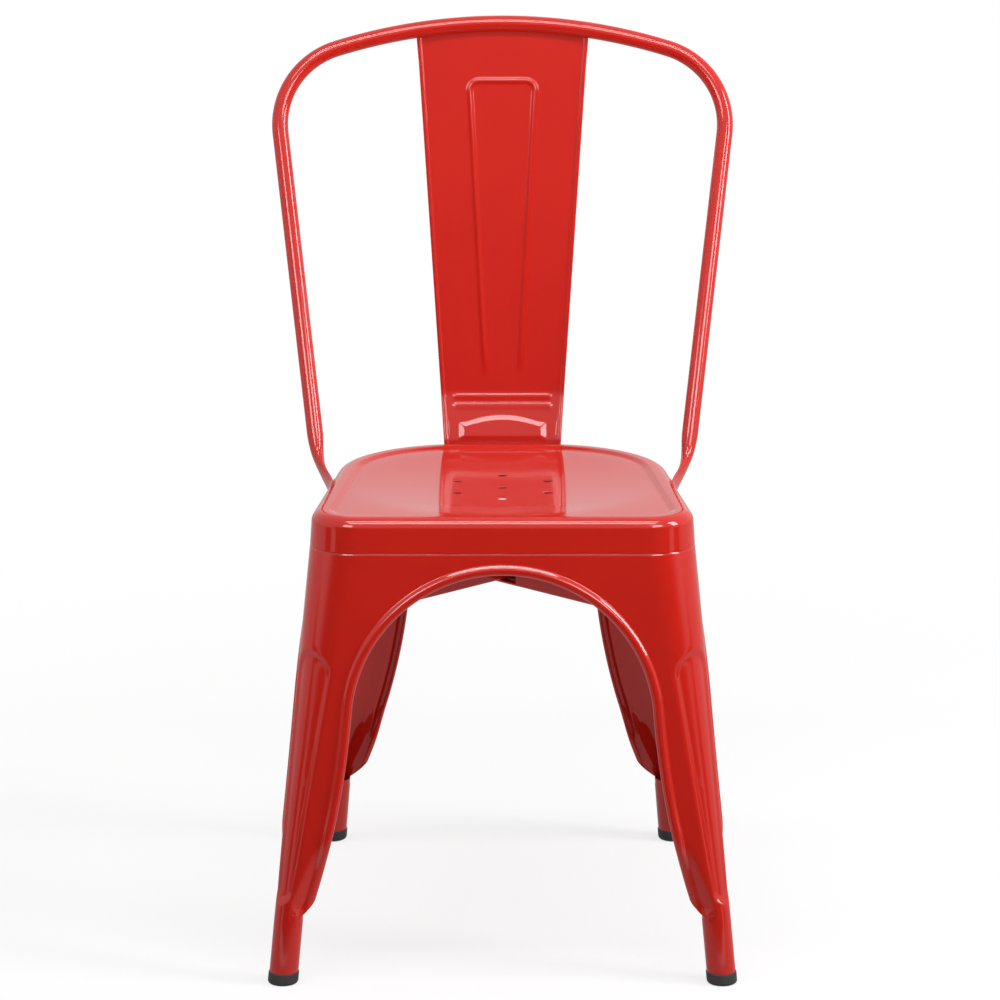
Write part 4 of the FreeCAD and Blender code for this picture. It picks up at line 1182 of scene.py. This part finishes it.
# %% Raise the bead, the creases and the panel, and roll the hems
def slat_half(length):
    """Half the slat's width at a distance down from the hoop's top."""
    foot = on_seat(0.0, 0.0, 0.0)[2]
    share = (along_slat(slat_line, length)[1] - foot) / (HOOP_TOP - foot)
    return (SLAT_FOOT_WIDTH + (SLAT_TOP_WIDTH - SLAT_FOOT_WIDTH) * share) / 2


def bead_half(length):
    drop = HOOP_TOP - along_slat(slat_line, length)[1]
    share = (drop - SLAT_BEAD_TOP) / (SLAT_BEAD_END - SLAT_BEAD_TOP)
    return SLAT_BEAD_TOP_HALF + (SLAT_BEAD_END_HALF - SLAT_BEAD_TOP_HALF) * share


def bead_height(x, length):
    """How far the inverted U stands out from the slat."""
    drop = HOOP_TOP - along_slat(slat_line, length)[1]
    aside = np.abs(x) - bead_half(length)
    below = SLAT_BEAD_TOP - drop
    corner = SLAT_BEAD_CORNER
    round_part = np.hypot(aside + corner, below + corner) - corner
    distance = np.where((aside > -corner) & (below > -corner), round_part,
                        np.maximum(aside, below))
    hill = 0.5 + 0.5 * np.cos(np.clip(distance / (SLAT_BEAD_WIDTH / 2), -1, 1) * math.pi)
    fade = 1 - smooth(drop, SLAT_BEAD_END - SLAT_BEAD_FADE, SLAT_BEAD_END)
    return SLAT_BEAD_RISE * hill * fade


def foot_height(x, length):
    """The press's marks above the knee: two creases and a raised, arched panel."""
    aside = np.abs(x)
    creases = 0.0
    for crease in CREASES:
        climb = smooth(length, crease - CREASE_HALF, crease + CREASE_HALF)
        fade = 1 - smooth(length, crease + CREASE_HALF, crease + CREASE_FADE)
        creases = creases + climb * fade
    fade = 1 - smooth(aside, PANEL_HALF, PANEL_HALF + PANEL_SIDE_FADE)
    creases = CREASE_RISE * creases * fade
    arch = PANEL_ARCH[0] * (aside / PANEL_ARCH[1]) ** 2
    ears = PANEL_EARS[0] * np.exp(-((aside - PANEL_EARS[1]) / PANEL_EARS[2]) ** 2)
    within = np.minimum(length - PANEL_TOP - arch + ears, PANEL_HALF - aside)
    panel = PANEL_RISE * smooth(within, 0, PANEL_WALL)
    return creases + panel * (1 - smooth(length, PANEL_END - PANEL_END_FADE, PANEL_END))


slat_rows = runs((SLAT_START, 8), (46, 34), (70, 40), (340, 12), (364, 60), (400, 34),
                 end=SLAT_END)
column_share = runs((0, 6), (0.62, 16), (1.0, 7), end=1.12)


def slat_section(length):
    """A closed section of the slat: its front from the middle to the right, then its back."""
    half = slat_half(length)
    core = half - HEM_WIDTH
    bead = column_share * bead_half(length)
    front_x = np.concatenate([bead, np.linspace(bead[-1], core - 0.8, 26)[1:]])
    foot_rise = foot_height(front_x, length)
    front_rise = SHEET / 2 + bead_height(front_x, np.full(front_x.shape, length)) + foot_rise
    hem = SHEET / 2 + HEM_RISE
    turn = np.linspace(math.pi / 2, -math.pi / 2, 11)
    edge_x = np.array([core - 0.4, core, core + 0.5])
    edge_rise = np.array([SHEET / 2 + 0.1, hem * 0.8, hem])
    right_x = [front_x, edge_x, half - hem + hem * np.cos(turn), edge_x[::-1], front_x[::-1]]
    right_rise = [front_rise, edge_rise, hem * np.sin(turn), -edge_rise[::-1],
                  foot_rise - SHEET / 2]
    return both_halves(np.stack([np.concatenate(right_x), np.concatenate(right_rise)], axis=1)).T


slat_grid = []
for length in slat_rows:
    x, rise = slat_section(length)
    along = np.minimum(length + sag(x) * (1 - smooth(length, *SAG_FADE)), SLAT_END)
    depth, height = along_slat(slat_line, along)
    way_y, way_z = along_slat(slat_front, along)
    slat_grid.append(np.stack([x, depth + rise * way_y, height + rise * way_z], axis=1))
slat_skin = capped_tube(np.array(slat_grid), (60, 0), (0, -1, 0))
make_piece("slat", slat_skin, "enamel", ["back_slat"])

# %% [markdown]
# ## Cross brace
#
# Under the seat two channel strips cross and run out into the corners of the legs, which stops
# the chair from racking. Each is a flat bar folded up on both sides, with round folds. The
# lower one's walls are cut away where the upper one passes over it.

# %% Fold the two strips
BRACE_HEIGHT = SEAT_HEIGHT - 99.5
BRACE_BEHIND = 5.0
BRACE_ANGLE = math.radians(41.5)
BRACE_HALF = 10.0
BRACE_WALL = 13.0
BRACE_STEP = 3.5
BRACE_FOLD = 2.6
BRACE_MIDDLE = np.array([0.0, SEAT_Y + BRACE_BEHIND])
BRACE_CLEARANCE = RECESS_DEPTH + SHEET + 0.4
section_u = np.linspace(0, 5, 600)


def reach_in(direction, origin, height):
    """How far a level line runs from origin before it meets the inside of the legs."""
    loop = both_halves(body_point(section_u, np.full(section_u.shape, height))[:, :2])
    span = np.roll(loop, -1, axis=0) - loop
    offset = loop - origin
    cross = direction[0] * span[:, 1] - direction[1] * span[:, 0]
    travel = (offset[:, 0] * span[:, 1] - offset[:, 1] * span[:, 0]) / cross
    share = (offset[:, 0] * direction[1] - offset[:, 1] * direction[0]) / cross
    hits = travel[(share >= 0) & (share <= 1) & (travel > 0)]
    return hits.min() - BRACE_CLEARANCE


def channel_section(wall):
    """A closed section of the channel, (aside, up), for a height of its walls."""
    fold = min(BRACE_FOLD, wall * 0.9)
    centre = np.array([BRACE_HALF - fold, fold])
    outer, inner = [(0.0, 0.0)], [(0.0, SHEET)]
    for angle in np.linspace(0, math.pi / 2, 7):
        turn = np.array([math.sin(angle), -math.cos(angle)])
        outer.append(centre + turn * fold)
        inner.append(centre + turn * max(fold - SHEET, 0.2))
    outer += [(BRACE_HALF, wall), (BRACE_HALF - SHEET / 2, wall + 0.4)]
    inner.append((BRACE_HALF - SHEET, wall))
    return both_halves(np.array(outer + inner[::-1]))


def brace_strip(angle, floor, notch=None):
    """One strip through the chair's middle; its walls drop where notch is given."""
    way = np.array([math.cos(angle), math.sin(angle)])
    aside = np.array([-way[1], way[0]])
    stations = [(share, BRACE_WALL) for share in np.linspace(-1, 1, 81)]
    if notch:
        parts = ((-1, -notch, 30, BRACE_WALL), (-notch, notch, 12, BRACE_FOLD),
                 (notch, 1, 30, BRACE_WALL))
        stations = [(share, wall) for start, end, count, wall in parts
                    for share in np.linspace(start, end, count)]
    rows = []
    spans = {}
    for share, wall in stations:
        row = []
        for offset, up in channel_section(wall):
            key = (round(offset, 3), round(up, 3), share > 0)
            if key not in spans:
                side = way if share > 0 else -way
                spans[key] = reach_in(side, BRACE_MIDDLE + aside * offset, floor + up)
            spot = BRACE_MIDDLE + aside * offset + way * share * spans[key]
            row.append((spot[0], spot[1], floor + up))
        rows.append(row)
    return capped_tube(np.array(rows), (4, 0), (0, 0, -1))


brace_span = reach_in((math.cos(BRACE_ANGLE), math.sin(BRACE_ANGLE)), BRACE_MIDDLE, BRACE_HEIGHT)
notch_half = BRACE_HALF + (BRACE_HALF + SEAM_GAP) / math.sin(2 * BRACE_ANGLE)
upper = brace_strip(BRACE_ANGLE, BRACE_HEIGHT)
lower = brace_strip(-BRACE_ANGLE, BRACE_HEIGHT - BRACE_STEP, notch_half / brace_span)
make_piece("brace_upper", upper, "enamel", ["upper_brace_strip"])
make_piece("brace_lower", lower, "enamel", ["lower_brace_strip"])

# %% [markdown]
# ## Welds
#
# Welds are what holds the pressings together. The ones that show are small rippled beads: round
# the hoop's flattened ends, down both sides of the slat's tail and under the hoop behind the
# slat. Geometry Nodes lay a bead along any line: the line is resampled, its radius swells and
# shrinks with every drop of metal, and a round profile is swept along it. The welds inside the
# legs keep their CAD shape and only get the enamel.

# %% Build the tree that lays a bead
RIPPLE_SPACING = 0.0014
RIPPLE_DEPTH = 0.16
STEP_PER_RIPPLE = 0.17


def make_bead_tree():
    tree = bpy.data.node_groups.new("weld_bead", "GeometryNodeTree")
    add_sockets(tree, "INPUT", {"Line": "Geometry", "Radius": "Float", "Ripple Spacing": "Float",
                                "Ripple Depth": "Float", "Finish": "Material"})
    add_sockets(tree, "OUTPUT", {"Bead": "Geometry"})
    given = add_node(tree, "NodeGroupInput").outputs
    curve = result(tree, "GeometryNodeMeshToCurve", {"Mesh": given["Line"]})
    step = maths(tree, "MULTIPLY", given["Ripple Spacing"], STEP_PER_RIPPLE)
    curve = result(tree, "GeometryNodeResampleCurve", {"Curve": curve, "Length": step},
                   mode="LENGTH")
    travel = add_node(tree, "GeometryNodeSplineParameter").outputs["Length"]
    drops = maths(tree, "DIVIDE", travel, given["Ripple Spacing"])
    wave = maths(tree, "SINE", maths(tree, "MULTIPLY", drops, 2 * math.pi))
    swell = maths(tree, "ADD", maths(tree, "MULTIPLY", wave, given["Ripple Depth"]), 1.0)
    size = maths(tree, "MULTIPLY", swell, given["Radius"])
    profile = result(tree, "GeometryNodeCurvePrimitiveCircle", {"Resolution": 10, "Radius": 1.0},
                     mode="RADIUS")
    bead = result(tree, "GeometryNodeCurveToMesh", {
        "Curve": curve, "Profile Curve": profile, "Scale": size, "Fill Caps": True})
    bead = result(tree, "GeometryNodeSetShadeSmooth", {0: bead})
    bead = result(tree, "GeometryNodeRealizeInstances", {0: bead})
    bead = result(tree, "GeometryNodeSetMaterial", {0: bead, "Material": given["Finish"]})
    add_node(tree, "NodeGroupOutput", {0: bead})
    return tree


bead_tree = make_bead_tree()


def lay_beads(name, lines, radius, nodes):
    """Rippled beads along lines of points, as one finished piece."""
    points, edges = [], []
    for line in lines:
        start = len(points)
        points += (np.asarray(line) / 1000).tolist()
        edges += [(start + n, start + n + 1) for n in range(len(line) - 1)]
    mesh = bpy.data.meshes.new(name + "_lines")
    mesh.from_pydata(points, edges, [])
    guide = into_scene(name + "_lines", mesh)
    modifier = guide.modifiers.new("bead", "NODES")
    modifier.node_group = bead_tree
    values = {"Radius": radius / 1000, "Ripple Spacing": RIPPLE_SPACING,
              "Ripple Depth": RIPPLE_DEPTH, "Finish": finishes["enamel"]}
    for item in bead_tree.interface.items_tree:
        if item.in_out == "INPUT" and item.name in values:
            modifier[item.identifier] = values[item.name]
    evaluated = guide.evaluated_get(bpy.context.evaluated_depsgraph_get())
    solid = bpy.data.meshes.new_from_object(evaluated)
    bpy.data.objects.remove(guide)
    hand_over(into_scene(name, solid), nodes)


print("a bead has a drop of metal every", RIPPLE_SPACING * 1000, "mm")


# %% Lay the beads that show
PAD_BEAD = 1.0
SLAT_BEAD = 1.2
PAD_BEAD_START = -7
TOP_BEAD_INSET = 8
TOP_BEAD_BEHIND = 1.6


def pad_line():
    """The line where the right-hand flattened end meets the skirt."""
    broad = unit(np.cross(pad_way, [1.0, 0.0, 0.0]))
    inward = unit(np.cross(broad, pad_way))
    inward = -inward if inward[0] > 0 else inward
    reach = PAD_HALF_WIDTH + 0.3
    side = np.linspace(PAD_BEAD_START, PAD_TIP, 6)[:, None]
    turn = np.linspace(math.pi / 2, -math.pi / 2, 15)[1:-1, None]
    tip = pad_way * (PAD_TIP + reach * np.cos(turn)) + broad * reach * np.sin(turn)
    line = np.concatenate([broad * reach + pad_way * side, tip,
                           pad_way * side[::-1] - broad * reach])
    return pad_goal + line + inward * (PAD_HALF_THICKNESS - 0.7)


pad_bead = pad_line()
lay_beads("hoop_beads", [pad_bead, pad_bead * MIRROR], PAD_BEAD, ["hoop_end_welds"])
tail = np.linspace(SLAT_END - SLAT_TAIL + 1, SLAT_END - 1, 8)
tail_y, tail_z = along_slat(slat_line, tail)
tail_bead = np.stack([slat_half(tail) + 0.4, tail_y - 0.4, tail_z], axis=1)
lay_beads("slat_foot_beads", [tail_bead, tail_bead * MIRROR], SLAT_BEAD, ["slat_foot_welds"])
half_weld = SLAT_TOP_WIDTH / 2 - TOP_BEAD_INSET
weld_x = np.linspace(-half_weld, half_weld, 60)
weld_line = hoop_point(weld_x, sag(weld_x) + HOOP_RADIUS * 0.96)
behind_way = np.array([0.0, math.cos(HOOP_LEAN), -math.sin(HOOP_LEAN)])
weld_line = weld_line + behind_way * TOP_BEAD_BEHIND
lay_beads("slat_top_bead", [weld_line], SLAT_BEAD, ["slat_top_weld"])

cad_welds = ["front_seam_weld", "rear_seam_weld", "side_seam_welds", "seat_spot_welds",
             "brace_end_welds", "brace_cross_weld"]
for name in cad_welds:
    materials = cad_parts[name].data.materials
    materials.clear()
    materials.append(finishes["enamel"])
print("welds kept from the CAD model:", len(cad_welds))

# %% [markdown]
# ## Floor, backdrop and light
#
# The photograph is a studio shot on pure white. The floor and the world are white for the
# camera. In what the enamel mirrors they are not: a glossy coat shows its surroundings, and the
# photograph's deep red apron proves that the room in front of the chair was dark, while the
# seat's pale sheen proves that the wall behind it was bright. A bright band of floor on either
# side, and three white cards that light nothing, are there only to be mirrored in the enamel.

# %% Make the floor
FLOOR_RADIUS = 12
FLOOR_SEEN = (0.97, 0.97, 0.97, 1)
FLOOR_BOUNCE = (0.40, 0.40, 0.40, 1)
FLOOR_GLOW = 0.75
WHITE_FROM = (0.5, 1.3)
MIRRORED_FLOOR = (-0.75, -0.2, 0.03, 0.55)
BAND_EDGES = ((-0.66, -0.56), (-0.32, -0.42))
BAND_CENTRE = 0.2
BAND_START = (0.36, 0.52)
BAND_STRENGTH = 0.75


def make_floor_material():
    material = bpy.data.materials.new("studio_floor")
    material.use_nodes = True
    tree = material.node_tree
    rays = add_node(tree, "ShaderNodeLightPath").outputs
    place = add_node(tree, "ShaderNodeTexCoord").outputs["Object"]
    away = add_node(tree, "ShaderNodeVectorMath", {0: place}, operation="LENGTH").outputs["Value"]
    split = add_node(tree, "ShaderNodeSeparateXYZ", {0: place}).outputs
    white = result(tree, "ShaderNodeEmission")
    # What the camera sees, and what lights the chair from below.
    shader = tree.nodes["Principled BSDF"]
    colour = blend_colours(tree, rays["Is Camera Ray"], FLOOR_BOUNCE, FLOOR_SEEN)
    wire(tree, shader, {"Base Color": colour, "Roughness": 0.9, "Specular IOR Level": 0.0})
    glow = maths(tree, "MULTIPLY", rays["Is Camera Ray"], FLOOR_GLOW)
    near = result(tree, "ShaderNodeMixShader", {0: glow, 1: shader.outputs[0], 2: white})
    seen = result(tree, "ShaderNodeMixShader", {
        0: ramp(tree, away, *WHITE_FROM), 1: near, 2: white})
    # What the enamel mirrors: dark ahead, pale behind, with a bright band on either side.
    across = maths(tree, "ADD", maths(tree, "ABSOLUTE", split["X"]), BAND_CENTRE)
    bearing = maths(tree, "DIVIDE", maths(tree, "ADD", split["Y"], BAND_CENTRE), across)
    edges = [ramp(tree, bearing, *edge) for edge in BAND_EDGES]
    band = maths(tree, "MULTIPLY", *edges)
    band = maths(tree, "MULTIPLY", band, ramp(tree, away, *BAND_START))
    strength = maths(tree, "MULTIPLY_ADD", band, BAND_STRENGTH,
                     ramp(tree, split["Y"], *MIRRORED_FLOOR))
    mirror_image = result(tree, "ShaderNodeEmission", {"Strength": strength})
    surface = result(tree, "ShaderNodeMixShader", {
        0: rays["Is Glossy Ray"], 1: seen, 2: mirror_image})
    wire(tree, tree.nodes["Material Output"], {"Surface": surface})
    return material


floor_mesh = bpy.data.meshes.new("floor")
rim = np.column_stack([FLOOR_RADIUS * unit_circle(96), np.zeros(96)])
floor_mesh.from_pydata(rim.tolist(), [], [tuple(range(96))])
floor_mesh.materials.append(make_floor_material())
floor = into_scene("floor", floor_mesh)
print("floor radius in metres:", FLOOR_RADIUS)

# %% Light the studio
DARK_AHEAD = (-0.75, -0.15, 1.0, 0.0)
DARK_LOW = (-0.02, 0.5, 1.0, 0.0)
MIRRORED_WALLS = (0.0, 1.0, 0.85, 0.02)
SKY_LIGHT = (-0.1, 0.9, 0.30, 0.58)


def make_world():
    world = bpy.data.worlds.new("studio")
    bpy.context.scene.world = world
    world.use_nodes = True
    tree = world.node_tree
    rays = add_node(tree, "ShaderNodeLightPath").outputs
    way = add_node(tree, "ShaderNodeTexCoord").outputs["Generated"]
    split = add_node(tree, "ShaderNodeSeparateXYZ", {0: way}).outputs
    dark = maths(tree, "MULTIPLY", ramp(tree, split["Y"], *DARK_AHEAD),
                 ramp(tree, split["Z"], *DARK_LOW))
    unseen = result(tree, "ShaderNodeMix", {
        0: rays["Is Glossy Ray"], 2: ramp(tree, split["Z"], *SKY_LIGHT),
        3: ramp(tree, dark, *MIRRORED_WALLS)}, data_type="FLOAT")
    strength = result(tree, "ShaderNodeMix", {
        0: rays["Is Camera Ray"], 2: unseen, 3: 1.0}, data_type="FLOAT")
    wire(tree, tree.nodes["Background"], {"Color": (1, 1, 1, 1), "Strength": strength})


make_world()
# Each lamp: its place, what it points at, its size, its power, and whether it is mirrored in
# the enamel and whether it lights anything.
LAMPS = {
    "key": ((2.5, -0.7, 1.8), (0, 0, 0.45), (0.8, 1.5), 50.0, True, True),
    "fill": ((-2.0, -0.4, 1.75), (0, 0, 0.45), (0.5, 0.5), 4.0, False, True),
    "overhead": ((0.0, -0.6, 2.6), (0, 0, 0.4), (2.0, 0.2), 20.0, True, True),
    "card_right": ((1.27, -2.3, 1.78), (0, -0.2, 0.44), (1.1, 0.9), 30.0, True, False),
    "card_left": ((-1.27, -2.3, 1.78), (0, -0.2, 0.44), (1.1, 0.9), 26.0, True, False),
    "card_high": ((0.0, -1.32, 2.48), (0, 0.15, 0.46), (1.8, 0.45), 24.0, True, False)}
for name, (place, target, size, power, in_mirrors, lights) in LAMPS.items():
    light = bpy.data.lights.new(name, "AREA")
    light.shape = "RECTANGLE"
    light.size, light.size_y = size
    light.energy = power
    lamp = into_scene(name, light)
    lamp.location = place
    x, y, z = np.subtract(target, place)
    lamp.rotation_euler = (math.pi / 2 + math.atan2(z, math.hypot(x, y)), 0.0, math.atan2(-x, y))
    lamp.visible_camera = False
    lamp.visible_glossy = in_mirrors
    lamp.visible_diffuse = lights
    print(name, "at", place)
bpy.context.scene.view_settings.view_transform = "Standard"
